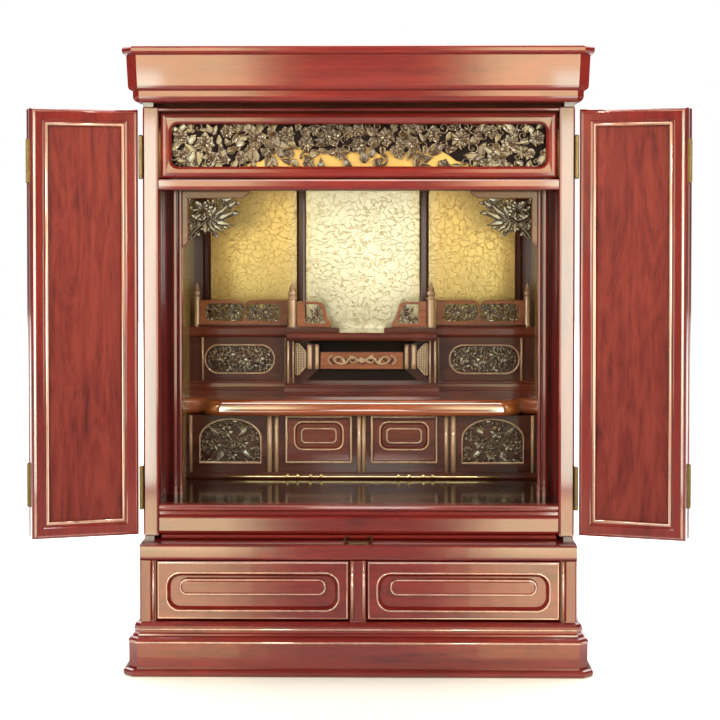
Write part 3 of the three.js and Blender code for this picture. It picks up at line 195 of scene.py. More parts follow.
def gold_leaf(name, base, pattern=True, rough=0.36, painted_lamp_glow=None):
    m, N, L = new_material(name)
    out = node(N, "ShaderNodeOutputMaterial")
    bsdf = node(N, "ShaderNodeBsdfPrincipled")
    L.new(bsdf.outputs[0], out.inputs[0])
    tc = node(N, "ShaderNodeTexCoord")
    noise = node(N, "ShaderNodeTexNoise")
    noise.inputs["Scale"].default_value = 35.0
    noise.inputs["Detail"].default_value = 4.0
    L.new(tc.outputs["Object"], noise.inputs[0])
    c = ramp(N, [(0.3, tuple(v * 0.86 for v in base)), (0.7, base)])
    L.new(noise.outputs[0], c.inputs[0])
    colour = c.outputs[0]
    if pattern:
        # fine woven arabesque: warped rings in a lattice, drawn as thin lines
        warp = node(N, "ShaderNodeTexNoise")
        warp.inputs["Scale"].default_value = 70.0
        warp.inputs["Detail"].default_value = 2.0
        L.new(tc.outputs["Object"], warp.inputs[0])
        add = node(N, "ShaderNodeMix", data_type="RGBA", blend_type="LINEAR_LIGHT")
        add.inputs[0].default_value = 0.012
        L.new(tc.outputs["Object"], add.inputs[6])
        L.new(warp.outputs["Color"], add.inputs[7])
        vor = node(N, "ShaderNodeTexVoronoi", feature="DISTANCE_TO_EDGE")
        vor.inputs["Scale"].default_value = 125.0
        L.new(add.outputs[2], vor.inputs[0])
        lines = ramp(N, [(0.02, (0.0, 0.0, 0.0)), (0.07, (1.0, 1.0, 1.0))])
        L.new(vor.outputs["Distance"], lines.inputs[0])
        mul = node(N, "ShaderNodeMix", data_type="RGBA", blend_type="MIX")
        L.new(lines.outputs[0], mul.inputs[0])
        mul.inputs[6].default_value = (base[0] * 0.76, base[1] * 0.69, base[2] * 0.58, 1)
        L.new(c.outputs[0], mul.inputs[7])
        colour = mul.outputs[2]
        bu = node(N, "ShaderNodeBump")
        bu.inputs["Strength"].default_value = 0.25
        bu.inputs["Distance"].default_value = 0.0003
        L.new(lines.outputs[0], bu.inputs["Height"])
        L.new(bu.outputs[0], bsdf.inputs["Normal"])
    if painted_lamp_glow:
        # painted light: the gilt is tinted paler and whiter towards the middle, fading out between 48 and 92 mm from
        # the centre line, a painted glow of lamp light
        sep = node(N, "ShaderNodeSeparateXYZ")
        L.new(tc.outputs["Object"], sep.inputs[0])
        ab = node(N, "ShaderNodeMath", operation="ABSOLUTE")
        L.new(sep.outputs[0], ab.inputs[0])
        mr = node(N, "ShaderNodeMapRange", interpolation_type="SMOOTHSTEP")
        mr.inputs["From Min"].default_value = 0.048
        mr.inputs["From Max"].default_value = 0.092
        L.new(ab.outputs[0], mr.inputs[0])
        tint = node(N, "ShaderNodeMix", data_type="RGBA", blend_type="MIX")
        L.new(mr.outputs[0], tint.inputs[0])
        light = node(N, "ShaderNodeMix", data_type="RGBA", blend_type="MULTIPLY")
        light.inputs[0].default_value = 1.0
        L.new(colour, light.inputs[6])
        light.inputs[7].default_value = (*painted_lamp_glow, 1)
        L.new(light.outputs[2], tint.inputs[6])
        L.new(colour, tint.inputs[7])
        colour = tint.outputs[2]
    L.new(colour, bsdf.inputs["Base Color"])
    bsdf.inputs["Metallic"].default_value = 0.5
    bsdf.inputs["Roughness"].default_value = rough
    return m


# the brocade's paler middle is painted lamp light
gilt = gold_leaf("gilt_brocade", (0.36, 0.25, 0.082), rough=0.21, painted_lamp_glow=(1.14, 1.52, 3.3))
gilt_flat = gold_leaf("gilt_leaf", (0.40, 0.24, 0.070), pattern=False)


def metal(name, base, rough=(0.2, 0.34)):
    m, N, L = new_material(name)
    out = node(N, "ShaderNodeOutputMaterial")
    bsdf = node(N, "ShaderNodeBsdfPrincipled")
    L.new(bsdf.outputs[0], out.inputs[0])
    tc = node(N, "ShaderNodeTexCoord")
    n = node(N, "ShaderNodeTexNoise")
    n.inputs["Scale"].default_value = 260.0
    n.inputs["Detail"].default_value = 4.0
    L.new(tc.outputs["Object"], n.inputs[0])
    c = ramp(N, [(0.3, tuple(v * 0.72 for v in base)), (0.65, base)])
    L.new(n.outputs[0], c.inputs[0])
    L.new(c.outputs[0], bsdf.inputs["Base Color"])
    r = node(N, "ShaderNodeMapRange")
    r.inputs["To Min"].default_value = rough[1]
    r.inputs["To Max"].default_value = rough[0]
    L.new(n.outputs[0], r.inputs[0])
    L.new(r.outputs[0], bsdf.inputs["Roughness"])
    bsdf.inputs["Metallic"].default_value = 1.0
    return m


brass = metal("aged_brass", (0.15, 0.105, 0.046), rough=(0.36, 0.50))
gold_stud = metal("gilt_stud", (0.95, 0.78, 0.42), rough=(0.32, 0.42))

ASSIGN = {}
for n in ("base_moulding", "case_top", "cornice", "frieze_strip", "lintel_rail", "sill_rail", "pullout_shelf", "drawer_left", "drawer_right", "transom_frame"):
    ASSIGN[n] = case_x
for n in ("case_side_left", "case_side_right", "case_divider", "body_side_left", "body_side_right"):
    ASSIGN[n] = case_z
for n in ("back_board", "ceiling_board"):
    ASSIGN[n] = plain
for n in ("inner_pillar_left", "inner_pillar_right"):
    ASSIGN[n] = case_z
for n in ("back_pilaster_left", "back_pilaster_right", "corner_pilaster_left", "corner_pilaster_right"):
    ASSIGN[n] = dark_z
for n in ("middle_shelf", "upper_shelf", "upper_tier_plinth"):
    ASSIGN[n] = shelf_x
for n in ("small_drawer_left", "small_drawer_right"):
    ASSIGN[n] = shelf_x
for n in ("inner_lintel",):
    ASSIGN[n] = dark_x
for n in ("lower_tier_front", "upper_tier_front"):
    ASSIGN[n] = tier
for n in ("transom_carving", "corner_bracket_left", "corner_bracket_right", "side_railing_left", "side_railing_right", "centre_wing_left", "centre_wing_right"):
    ASSIGN[n] = carved
ASSIGN["altar_floor"] = floor_wood
for n in ("gilt_side_wall_left", "gilt_side_wall_right", "gilt_back_wall"):
    ASSIGN[n] = gilt
ASSIGN["transom_backing"] = gilt_flat
for n in frame["nodes"]:
    if n.startswith("door_frame"):
        ASSIGN[n] = frame_z
    elif n.startswith("door_panel"):
        ASSIGN[n] = panel
    elif "hinge" in n or n == "shelf_pull":
        ASSIGN[n] = brass
for n, o in frame["nodes"].items():
    o.data.materials.clear()
    o.data.materials.append(ASSIGN[n])

# ------------------------------------------------------------------ carving
class Carving:
    """Gathers small closed carved forms into one mesh. A point is (x, z, h) in mm: h stands towards the viewer from depth d."""

    def __init__(self, d):
        self.d, self.v, self.f, self.count = d, [], [], 0

    def add(self, pts, faces):
        k = self.count
        self.v.extend(pts)
        self.f.extend([tuple(i + k for i in f) for f in faces])
        self.count += len(pts)

    def grid(self, rows, floor):
        """A sheet of rows x cols points, closed by a skirt and a bottom at the floor height."""
        nr, nc = len(rows), len(rows[0])
        pts = [p for r in rows for p in r]
        faces = [(i * nc + j, i * nc + j + 1, (i + 1) * nc + j + 1, (i + 1) * nc + j) for i in range(nr - 1) for j in range(nc - 1)]
        rim = [j for j in range(nc)] + [i * nc + nc - 1 for i in range(1, nr)] + [(nr - 1) * nc + j for j in range(nc - 2, -1, -1)] + [i * nc for i in range(nr - 2, 0, -1)]
        base = len(pts)
        pts = pts + [(pts[i][0], pts[i][1], min(floor, pts[i][2] - 0.3)) for i in rim]
        m = len(rim)
        faces += [(rim[(i + 1) % m], rim[i], base + i, base + (i + 1) % m) for i in range(m)]
        faces.append(tuple(base + i for i in range(m)))
        self.add(pts, faces)

    def petal(self, x, z, ang, length, width, h0=0.5, rise=0.8, cup=0.9, rib=0.5, bend=0.0, lobes=0, floor=0.0, rows=8, cols=6, blunt=0.75):
        """A leaf or petal lying outwards from (x, z): raised rims, a midrib and a hollow on each side of it."""
        ca, sa = math.cos(ang), math.sin(ang)
        out = []
        for i in range(rows + 1):
            u = i / rows
            w = width / 2 * max(0.06, math.sin(math.pi * min(1, 0.06 + 0.94 * u ** blunt)) ** 0.8)
            if lobes:
                w *= 0.80 + 0.28 * abs(math.sin(lobes * math.pi * u))
            line = []
            for j in range(cols + 1):
                v = -1 + 2 * j / cols
                px = u * length + (abs(v) ** 2) * (-0.12 * length) * u
                pz = v * w + bend * length * u * u
                h = h0 + rise * math.sin(math.pi * 0.75 * u) + cup * (abs(v) ** 1.6 - 0.45) * math.sin(math.pi * min(1, u * 0.9 + 0.1)) + rib * math.exp(-(v / 0.22) ** 2) * (1 - u * 0.6)
                line.append((x + px * ca - pz * sa, z + px * sa + pz * ca, h))
            out.append(line)
        self.grid(out, floor)

    def dome(self, x, z, r, h, floor=0.0, n=8, rings=3, squash=1.0, ang=0.0):
        """A bead or bud."""
        ca, sa = math.cos(ang), math.sin(ang)
        pts = [(x, z, floor + h)]
        for k in range(1, rings + 1):
            t = math.pi / 2 * k / rings
            for i in range(n):
                a = 2 * math.pi * i / n
                px, pz = r * math.sin(t) * math.cos(a), r * squash * math.sin(t) * math.sin(a)
                pts.append((x + px * ca - pz * sa, z + px * sa + pz * ca, floor + h * math.cos(t)))
        faces = [(0, 1 + i, 1 + (i + 1) % n) for i in range(n)]
        for k in range(rings - 1):
            a, b = 1 + k * n, 1 + (k + 1) * n
            faces += [(a + i, b + i, b + (i + 1) % n, a + (i + 1) % n) for i in range(n)]
        faces.append(tuple(1 + (rings - 1) * n + i for i in range(n - 1, -1, -1)))
        self.add(pts, faces)

    def tube(self, path, r0, r1=None, h=1.0, n=7, smooth=5):
        """A rounded stem along a smooth line through path, (x, z) or (x, z, h), from radius r0 to r1."""
        r1 = r0 if r1 is None else r1
        p = [np.array(q if len(q) == 3 else (*q, h), float) for q in path]
        p = [2 * p[0] - p[1]] + p + [2 * p[-1] - p[-2]]
        line = []
        for i in range(1, len(p) - 2):
            for k in range(smooth):
                t = k / smooth
                a, b, c, e = p[i - 1], p[i], p[i + 1], p[i + 2]
                line.append(0.5 * (2 * b + (c - a) * t + (2 * a - 5 * b + 4 * c - e) * t * t + (3 * b - a - 3 * c + e) * t ** 3))
        line.append(p[-2])
        m = len(line)
        pts = []
        for i, q in enumerate(line):
            a, b = line[max(0, i - 1)], line[min(m - 1, i + 1)]
            t = b - a
            t[2] = 0
            t /= max(1e-6, np.linalg.norm(t))
            side = np.array((-t[1], t[0], 0.0))
            r = r0 + (r1 - r0) * i / (m - 1)
            for k in range(n):
                g = 2 * math.pi * k / n
                pts.append(tuple(q + side * r * math.cos(g) + np.array((0, 0, 1.0)) * r * math.sin(g)))
        faces = [(i * n + k, i * n + (k + 1) % n, (i + 1) * n + (k + 1) % n, (i + 1) * n + k) for i in range(m - 1) for k in range(n)]
        faces.append(tuple(range(n - 1, -1, -1)))
        faces.append(tuple((m - 1) * n + k for k in range(n)))
        self.add(pts, faces)

    def curl(self, x, z, r, turns=1.3, start=0.0, side=1, r0=0.9, r1=0.4, h=1.2):
        """A tendril winding in to an eye."""
        path = []
        steps = int(9 * turns)
        for i in range(steps + 1):
            t = i / steps
            a = start + side * t * turns * 2 * math.pi
            q = r * (1 - 0.78 * t)
            path.append((x + q * math.cos(a), z + q * math.sin(a), h + 0.5 * t))
        self.tube(path, r0, r1, smooth=2, n=6)
        self.dome(x, z, r * 0.26, h + 1.3, n=6)

    def flower(self, x, z, r, h=0.0, turn=0.0, rings=((7, 1.0, 0.62, 0.4), (6, 0.74, 0.56, 1.5), (4, 0.48, 0.46, 2.5)), floor=0.0, depth=1.0):
        """A peony: rings of cupped petals round a bud."""
        for k, (n, reach, wide, lift) in enumerate(rings):
            for i in range(n):
                a = turn + 2 * math.pi * (i + 0.5 * (k % 2)) / n
                s = 1 + 0.10 * math.sin(3.1 * i + 1.7 * k + x)
                self.petal(x + 0.10 * r * math.cos(a), z + 0.10 * r * math.sin(a), a, r * reach * 0.92 * s, r * wide * 1.15, h0=h + lift * depth, rise=0.9 * depth,
                           cup=1.2 * depth, rib=0.35 * depth, floor=floor, blunt=1.25, rows=6, cols=6)
        self.dome(x, z, r * 0.19, h + 3.9 * depth - floor, floor=floor, n=8)

    def blossom(self, x, z, r, n=5, h=0.0, turn=0.0, floor=0.0, depth=1.0):
        """A small open blossom with a bead in the middle."""
        for i in range(n):
            a = turn + 2 * math.pi * i / n
            self.petal(x, z, a, r, r * 0.95, h0=h + 0.35 * depth, rise=0.7 * depth, cup=0.8 * depth, rib=0.1, floor=floor, rows=5, cols=4, blunt=1.35)
        self.dome(x, z, r * 0.26, h + 1.5 * depth - floor, floor=floor, n=6)

    def scatter(self, inside, box, spacing, rng, kinds, avoid=()):
        """Fills the ground left free with sprigs, dart by dart."""
        x0, x1, z0, z1 = box
        placed = list(avoid)
        tries = int((x1 - x0) * (z1 - z0) / spacing ** 2 * 14)
        done = 0
        for _ in range(tries):
            x, z = rng.uniform(x0, x1), rng.uniform(z0, z1)
            if not inside(x, z):
                continue
            if any((x - a) ** 2 + (z - b) ** 2 < (spacing * 0.5 + r) ** 2 for a, b, r in placed):
                continue
            kinds(self, x, z, rng)
            placed.append((x, z, spacing * 0.42))
            done += 1
        return done

    def build(self, name, material, body, mirror=False, smooth=True):
        me = bpy.data.meshes.new(name)
        s = -1.0 if mirror else 1.0
        co = [(s * x / 1000.0, (self.d - h - MID) / 1000.0, z / 1000.0) for x, z, h in self.v]
        faces = [tuple(reversed(f)) for f in self.f] if mirror else self.f
        me.from_pydata(co, [], faces)
        me.validate()
        bm = bmesh.new()
        bm.from_mesh(me)
        bmesh.ops.recalc_face_normals(bm, faces=bm.faces)
        bm.to_mesh(me)
        bm.free()
        if smooth:
            me.polygons.foreach_set("use_smooth", [len(p.vertices) <= 4 for p in me.polygons])
        me.materials.append(material)
        o = bpy.data.objects.new(name, me)
        bpy.context.scene.collection.objects.link(o)
        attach(o, body)
        return o


def slab(name, outline, holes, d0, d1, bevel, material, body, mirror=False):
    """A flat board with the given outline and openings, its edges rounded."""
    cu = bpy.data.curves.new(name, "CURVE")
    cu.dimensions = "2D"
    cu.fill_mode = "BOTH"
    cu.extrude = (d1 - d0) / 2000.0 - bevel / 1000.0
    cu.bevel_depth = bevel / 1000.0
    cu.bevel_resolution = 2
    cu.offset = -bevel / 1000.0
    s = -1.0 if mirror else 1.0
    for loop in [outline] + list(holes):
        sp = cu.splines.new("POLY")
        sp.points.add(len(loop) - 1)
        for p, (x, z) in zip(sp.points, loop):
            p.co = (s * x / 1000.0, z / 1000.0, 0, 1)
        sp.use_cyclic_u = True
    tmp = bpy.data.objects.new(name + "_curve", cu)
    bpy.context.scene.collection.objects.link(tmp)
    dg = bpy.context.evaluated_depsgraph_get()
    me = bpy.data.meshes.new_from_object(tmp.evaluated_get(dg))
    bpy.data.objects.remove(tmp)
    bpy.data.curves.remove(cu)
    y = ((d0 + d1) / 2 - MID) / 1000.0
    for v in me.vertices:
        v.co = (v.co.x, y - v.co.z, v.co.y)
    bm = bmesh.new()
    bm.from_mesh(me)
    bmesh.ops.remove_doubles(bm, verts=bm.verts, dist=1e-6)
    bmesh.ops.recalc_face_normals(bm, faces=bm.faces)
    bm.to_mesh(me)
    bm.free()
    me.name = name
    me.materials.clear()
    me.materials.append(material)
    o = bpy.data.objects.new(name, me)
    bpy.context.scene.collection.objects.link(o)
    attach(o, body)
    return o


def merged(name, objs):
    """Joins several pieces into one object."""
    target = objs[0]
    bm = bmesh.new()
    for o in objs:
        bm.from_mesh(o.data)
    me = bpy.data.meshes.new(name)
    bm.to_mesh(me)
    bm.free()
    me.materials.append(objs[0].data.materials[0])
    body = objs[0]["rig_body"]
    for o in objs:
        bpy.data.objects.remove(o)
    n = bpy.data.objects.new(name, me)
    bpy.context.scene.collection.objects.link(n)
    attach(n, body)
    return n


def rounded(cx, cz, hw, hh, r, k=6):
    pts = []
    for qx, qz, a0 in ((1, 1, 0), (-1, 1, 90), (-1, -1, 180), (1, -1, 270)):
        for i in range(k + 1):
            a = math.radians(a0 + 90 * i / k)
            pts.append((cx + qx * (hw - r) + r * math.cos(a), cz + qz * (hh - r) + r * math.sin(a)))
    return pts


def within(poly):
    """Tests whether a point is in a polygon."""
    def test(x, z, margin=0.0):
        hit = False
        n = len(poly)
        for i in range(n):
            (x0, z0), (x1, z1) = poly[i], poly[(i + 1) % n]
            if (z0 > z) != (z1 > z) and x < x0 + (z - z0) / (z1 - z0) * (x1 - x0):
                hit = not hit
            if margin:
                dx, dz = x1 - x0, z1 - z0
                t = max(0, min(1, ((x - x0) * dx + (z - z0) * dz) / max(1e-9, dx * dx + dz * dz)))
                if (x - x0 - t * dx) ** 2 + (z - z0 - t * dz) ** 2 < margin * margin:
                    return False
        return hit
    return test


FIELD_UP, FIELD_LOW = 234.7, 198.1
# transom: peonies and leaves, pierced, over the gilt board
def sprig(size, floor=0.0, h=0.6, wide=1.0):
    def make(c, x, z, rng):
        s = size * rng.uniform(0.75, 1.25)
        a = rng.uniform(0, 2 * math.pi)
        q = rng.random()
        if q < 0.62:
            c.petal(x - s * 0.5 * math.cos(a), z - s * 0.5 * math.sin(a), a, s, s * rng.uniform(0.42, 0.62) * wide, h0=h + rng.uniform(0, 0.9), rise=rng.uniform(0.4, 1.2), cup=rng.uniform(0.7, 1.2),
                    rib=0.6, bend=rng.uniform(-0.25, 0.25), lobes=rng.choice((0, 2, 3)), floor=floor)
        elif q < 0.82:
            c.curl(x, z, s * 0.40, turns=1.2, start=a, side=rng.choice((-1, 1)), r0=s * 0.085, r1=s * 0.05, h=h + 0.6)
        else:
            c.blossom(x, z, s * 0.48, n=5, h=h + 0.4, turn=a, floor=floor)
    return make


rng = random.Random(11)
HOLE = rounded(0, 515.8, 187.3, 22.9, 9)
in_hole = within(HOLE)
c = Carving(13.4)
spots = []
line = []
for i in range(29):
    x = -184 + 368 * i / 28
    line.append((x, 515.5 + 8.5 * math.sin(x / 17.5 + 0.6), 2.6 + 0.8 * math.sin(x / 9)))
blooms = [(-176, 524, 9), (-152, 518, 11.5), (-130, 530, 8), (-101, 523, 11), (-71, 527, 9.5), (-52, 518, 9), (-26, 524, 10.5), (0, 516, 9.5),
          (27, 524, 10.5), (53, 518, 9), (74, 527, 9.5), (101, 522, 11), (131, 530, 8), (150, 517, 11.5), (176, 523, 9)]
for i, (x, z, r) in enumerate(blooms):
    if i % 3 == 2:
        c.blossom(x, z, r, n=6, h=2.0, turn=i, depth=1.6)
    else:
        c.flower(x, z, r, h=1.6, turn=i * 0.7, depth=1.0)
    spots.append((x, z, r * 0.72))


def open_ground(x, z):
    """Keeps a point inside the transom's opening, 2.6 mm clear of its edge."""
    if not in_hole(x, z, 2.6):
        return False
    return True


def transom_kinds(c, x, z, rng):
    low = z < 508 and abs(x) < 105
    if low and rng.random() < 0.40:
        return
    sprig(13.5, floor=0.2, h=0.8, wide=1.15)(c, x, z, rng)


c.scatter(open_ground, (-186, 186, 493.5, 538), 7.4, rng, transom_kinds, spots)
c.scatter(open_ground, (-186, 186, 493.5, 538), 12.5, rng, lambda c, x, z, rng: sprig(10, floor=1.2, h=3.0, wide=1.2)(c, x, z, rng) if z > 510 or abs(x) > 110 else None, spots)
# painted shadow: a near-black board behind the transom carving, open only in the lower middle, stands for the shade the
# pierced work casts on the gilt
ground = Carving(13.2)
g_top = [(x, z) for x, z in HOLE if z > 515.8]
g_top = sorted(g_top, key=lambda q: q[0])
low = [(186.6, 515.0), (186.6, 501.0), (181, 494.4), (118, 494.2), (108, 498.5), (97, 500.5), (90, 506)]
for k in range(25):
    x = 82 - 164 * k / 24
    low.append((x, 510.5 + 3.4 * math.sin(k * 1.9) + 2.0 * math.sin(k * 0.7)))
low += [(-90, 506), (-97, 500.5), (-108, 498.5), (-118, 494.2), (-181, 494.4), (-186.6, 501.0), (-186.6, 515.0)]
shade = slab("transom_painted_shadow_ground", g_top + low, [], 12.6, 13.6, 0.2, painted_shade_board, "cabinet")
transom = c.build("transom_peony_carving", carved_gilt, "cabinet")
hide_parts("transom_carving")

# corner brackets: a light L-shaped frame with a peony, its stem and leaves
for mirror, side in ((False, "left"), (True, "right")):
    x0, z1 = -182.4, 472.0
    f = slab("bracket_frame_" + side, [(x0, z1), (x0, 414), (x0 + 6, 419.5), (x0 + 6, z1 - 7.6), (x0 + 62, z1 - 7.6), (x0 + 69, z1 - 2), (x0 + 69, z1)], [], 75.2, 81.8, 0.7, pale_carved, "cabinet", mirror)
    c = Carving(81.6)
    rng = random.Random(5)
    c.tube([(x0 + 3, 419, 4), (x0 + 10, 428, 5), (x0 + 18, 436, 5.5), (x0 + 28, 444, 4.6)], 1.5, 1.2, n=8)
    for a, length, width, bend in ((0.95, 20, 8, 0.1), (0.55, 30, 8.5, 0.12), (0.25, 34, 9, 0.1), (-0.05, 28, 9, -0.12), (-0.42, 20, 8, -0.2), (-1.1, 15, 7, 0.2), (1.5, 17, 7, -0.2), (2.3, 22, 8, 0.15), (-2.0, 14, 6, 0.2), (2.9, 20, 8, -0.1)):
        c.petal(x0 + 26, 441, a, length, width, h0=2.6, rise=1.6, cup=1.3, rib=0.7, bend=bend, lobes=3, rows=12, cols=8)
    c.flower(x0 + 21, 452, 11.5, h=3.0, turn=0.4)
    for x, z, a, s in ((x0 + 40, 461, 0.2, 14), (x0 + 46, 455, 0.5, 13), (x0 + 48, 449, -0.1, 12), (x0 + 38, 437, -0.5, 11), (x0 + 10, 440, 2.4, 10), (x0 + 12, 431, 2.0, 9), (x0 + 32, 430, -1.0, 9), (x0 + 36, 462, 1.0, 9)):
        c.petal(x, z, a, s, s * 0.5, h0=2.4, rise=1.2, cup=1.0, rib=0.5, bend=0.15, lobes=2)
        c.curl(x + 2, z - 2, s * 0.22, 1.2, a, 1, 0.7, 0.4, 3.2)
    poly = within([(x0 + 6.5, 463.5), (x0 + 6.5, 424), (x0 + 24, 428), (x0 + 40, 432), (x0 + 50, 446), (x0 + 60, 456), (x0 + 56, 463.5)])
    c.scatter(lambda x, z: poly(x, z, 1.2), (x0 + 6, x0 + 58, 424, 464), 5.4, rng, sprig(8.5, floor=0.3, h=1.2), [(x0 + 21, 452, 7)])
    g = c.build("bracket_peony_" + side, carved, "cabinet", mirror)
    both = g
    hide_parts("corner_bracket_" + side)

# railings at the sides of the upper shelf, and the wings by its open middle
zr = 323.8


def wing_outline():
    top, pts = zr + 29.4, []
    xa, xm, xb = -180.7, -131.2, -82.8
    pts += [(xa, zr + 1), (xa, top)]
    for i in range(9):
        a = math.pi / 2 * i / 8
        pts.append((xm - 9 + 9 * math.sin(a), top - 9 + 9 * math.cos(a)))
    for i in range(1, 9):
        a = math.pi / 2 * i / 8
        pts.append((xm + 9 - 9 * math.cos(a), top - 9 + 9 * math.sin(a)))
    return pts + [(xb, top), (xb, zr + 1)]


def newel(x, d, z0, k, name, mirror, material):
    prof = [(0, 0), (2.9, 0), (2.9, 30.4), (3.1, 30.7), (3.6, 31.2), (3.6, 32.4), (3.1, 33), (2.2, 33.5), (2.2, 34.2), (2.9, 35.2), (3.3, 36.6), (3.3, 37.6), (2.8, 39), (2.0, 40), (1.8, 40.6), (2.4, 41.4), (2.5, 42.2), (1.9, 43.2), (1.5, 44.6), (1.2, 46.4), (0.6, 48.2), (0, 49)]
    n = 16
    verts, faces = [], []
    for r, h in prof:
        for i in range(n):
            a = 2 * math.pi * (i + 0.5) / n
            if h < 31:
                # eight flats with softened arrises
                b = (a + math.pi / 8) % (math.pi / 4) - math.pi / 8
                q = min(1.0, math.cos(math.pi / 8) / math.cos(b) * 1.03)
                rr = r * q
            else:
                rr = r
            verts.append((rr * k * math.cos(a), rr * k * math.sin(a), h))
    for i in range(len(prof) - 1):
        for j in range(n):
            faces.append((i * n + j, i * n + (j + 1) % n, (i + 1) * n + (j + 1) % n, (i + 1) * n + j))
    s = -1 if mirror else 1
    me = bpy.data.meshes.new(name)
    me.from_pydata([(s * (x + a) / 1000, (d + b - MID) / 1000, (z0 + c_) / 1000) for a, b, c_ in verts], [], faces)
    bm = bmesh.new()
    bm.from_mesh(me)
    bmesh.ops.remove_doubles(bm, verts=bm.verts, dist=1e-6)
    bmesh.ops.recalc_face_normals(bm, faces=bm.faces)
    bm.to_mesh(me)
    bm.free()
    me.materials.append(material)
    o = bpy.data.objects.new(name, me)
    bpy.context.scene.collection.objects.link(o)
    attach(o, "cabinet")
    return o


for mirror, side in ((False, "left"), (True, "right")):
    hl, hr = rounded(-152.6, zr + 15.6, 21.5, 9.6, 6), rounded(-110.4, zr + 15.6, 19.5, 9.6, 6)
    rail = slab("railing_frame_" + side, wing_outline(), [hl, hr], 234.2, 237.8, 0.6, board_wood, "cabinet", mirror)
    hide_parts("side_railing_" + side)
    sole = slab("railing_sole_" + side, [(-183.7, zr), (-82.8, zr), (-82.8, zr + 2.2), (-183.7, zr + 2.2)], [], 233, 239, 0.5, dark_x, "cabinet", mirror)
    newel(-184, 236, zr, 1.12, "railing_newel_" + side, mirror, reed_painted_highlight)
    c = Carving(237.2)
    rng = random.Random(21)
    for hole, sgn, cx in ((hl, 1, -152.6), (hr, -1, -110.4)):
        test = within(hole)
        zc = zr + 15.6
        c.tube([(cx - 21 * sgn, zc - 7, 2), (cx - 12 * sgn, zc + 2, 2.4), (cx - 2 * sgn, zc - 4, 2.4), (cx + 8 * sgn, zc + 2, 2.4), (cx + 21 * sgn, zc + 6, 2)], 1.1, 0.9)
        c.flower(cx + 9 * sgn, zc - 0.5, 7.2, h=1.2, depth=0.7)
        c.curl(cx + 16 * sgn, zc + 5.5, 3.6, 1.4, 0.3, sgn, 0.8, 0.45, 2)
        c.curl(cx - 15 * sgn, zc + 4, 3.8, 1.4, 2.2, -sgn, 0.8, 0.45, 2)
        c.scatter(lambda x, z: test(x, z, 0.8), (cx - 21, cx + 21, zc - 9, zc + 9), 3.9, rng, sprig(6.2, floor=0.2, h=0.9), [(cx + 9 * sgn, zc, 5.5)])
    g = c.build("railing_carving_" + side, carved, "cabinet", mirror)

    zp = 318.5 + 5.6
    o = [(-71.4, zp), (-71.4, zp + 28.4), (-49, zp + 28.4), (-44.5, zp + 27.2), (-41.5, zp + 24.4), (-40.0, zp + 20), (-38.6, zp + 13.6), (-36.6, zp + 8.6), (-33.4, zp + 4.8), (-33.4, zp)]
    h = [(-62.6, zp + 4.2), (-62.6, zp + 25.2), (-50, zp + 25.2), (-46, zp + 23), (-43.4, zp + 18), (-41.6, zp + 10), (-38.6, zp + 4.2)]
    w = slab("centre_wing_frame_" + side, o, [h], 212.2, 215.8, 0.6, board_wood, "cabinet", mirror)
    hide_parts("centre_wing_" + side)
    so = slab("centre_wing_sole_" + side, [(-82.2, 318.5), (-24.7, 318.5), (-24.7, zp - 1), (-26.2, zp), (-82.2, zp)], [], 206, 222, 0.5, dark_x, "cabinet", mirror)
    newel(-76.4, 214, zp, 1.45, "centre_newel_" + side, mirror, reed_painted_highlight)
    c = Carving(215.2)
    c.tube([(-64, zp + 6, 2), (-59, zp + 9, 2.2), (-53, zp + 8, 2.4), (-47, zp + 12, 2.4), (-47, zp + 18, 2.2), (-52, zp + 20, 2)], 1.0, 0.8)
    c.flower(-49, zp + 12.5, 6.6, h=1.0, depth=0.7)
    c.blossom(-60, zp + 8, 4.0, h=1.2)
    c.curl(-46.5, zp + 21, 3.2, 1.3, 0.6, 1, 0.8, 0.45, 1.8)
    for x, z, a, s in ((-44, zp + 7, -0.9, 7), (-54, zp + 16, 2.2, 6.5), (-56, zp + 6, -0.4, 7), (-41.5, zp + 13, -1.2, 7), (-47, zp + 6, -0.6, 6)):
        c.petal(x, z, a, s, s * 0.5, h0=1.4, rise=0.8, cup=0.8, rib=0.4, lobes=2)
    g = c.build("centre_wing_carving_" + side, carved, "cabinet", mirror)

    # upper tier: a blossoming branch over the oval field
    f0, zc, cx = 209.0, 287.4, -136.15
    c = Carving(FIELD_UP)
    rng = random.Random(31)
    oval = within(rounded(cx, zc, 37.0, 14.0, 13.6))
    c.tube([(cx - 33, zc - 3, 1.4), (cx - 16, zc + 5, 1.9), (cx, zc - 4, 2), (cx + 16, zc + 5, 1.9), (cx + 33, zc - 2, 1.4)], 1.5, 1.3)
    keep = []
    for u, v, r in ((-20, 2, 7), (3, 0, 8), (22, 1, 7)):
        c.blossom(cx + u, zc + v, r, 5, h=2.6, depth=1.0)
        keep.append((cx + u, zc + v, r * 0.7))
    for u, v, a in ((-13, 2, 0.5), (12, -2, -2.4)):
        c.petal(cx + u, zc + v, a, 11.5, 6.4, h0=2.1, rise=1, cup=0.9, rib=0.5)
    c.scatter(lambda x, z: oval(x, z, 0.9), (cx - 37, cx + 37, zc - 14, zc + 14), 3.6, rng, sprig(5.8, floor=0.1, h=0.7), keep)
    g = c.build("oval_branch_carving_" + side, carved, "cabinet", mirror)

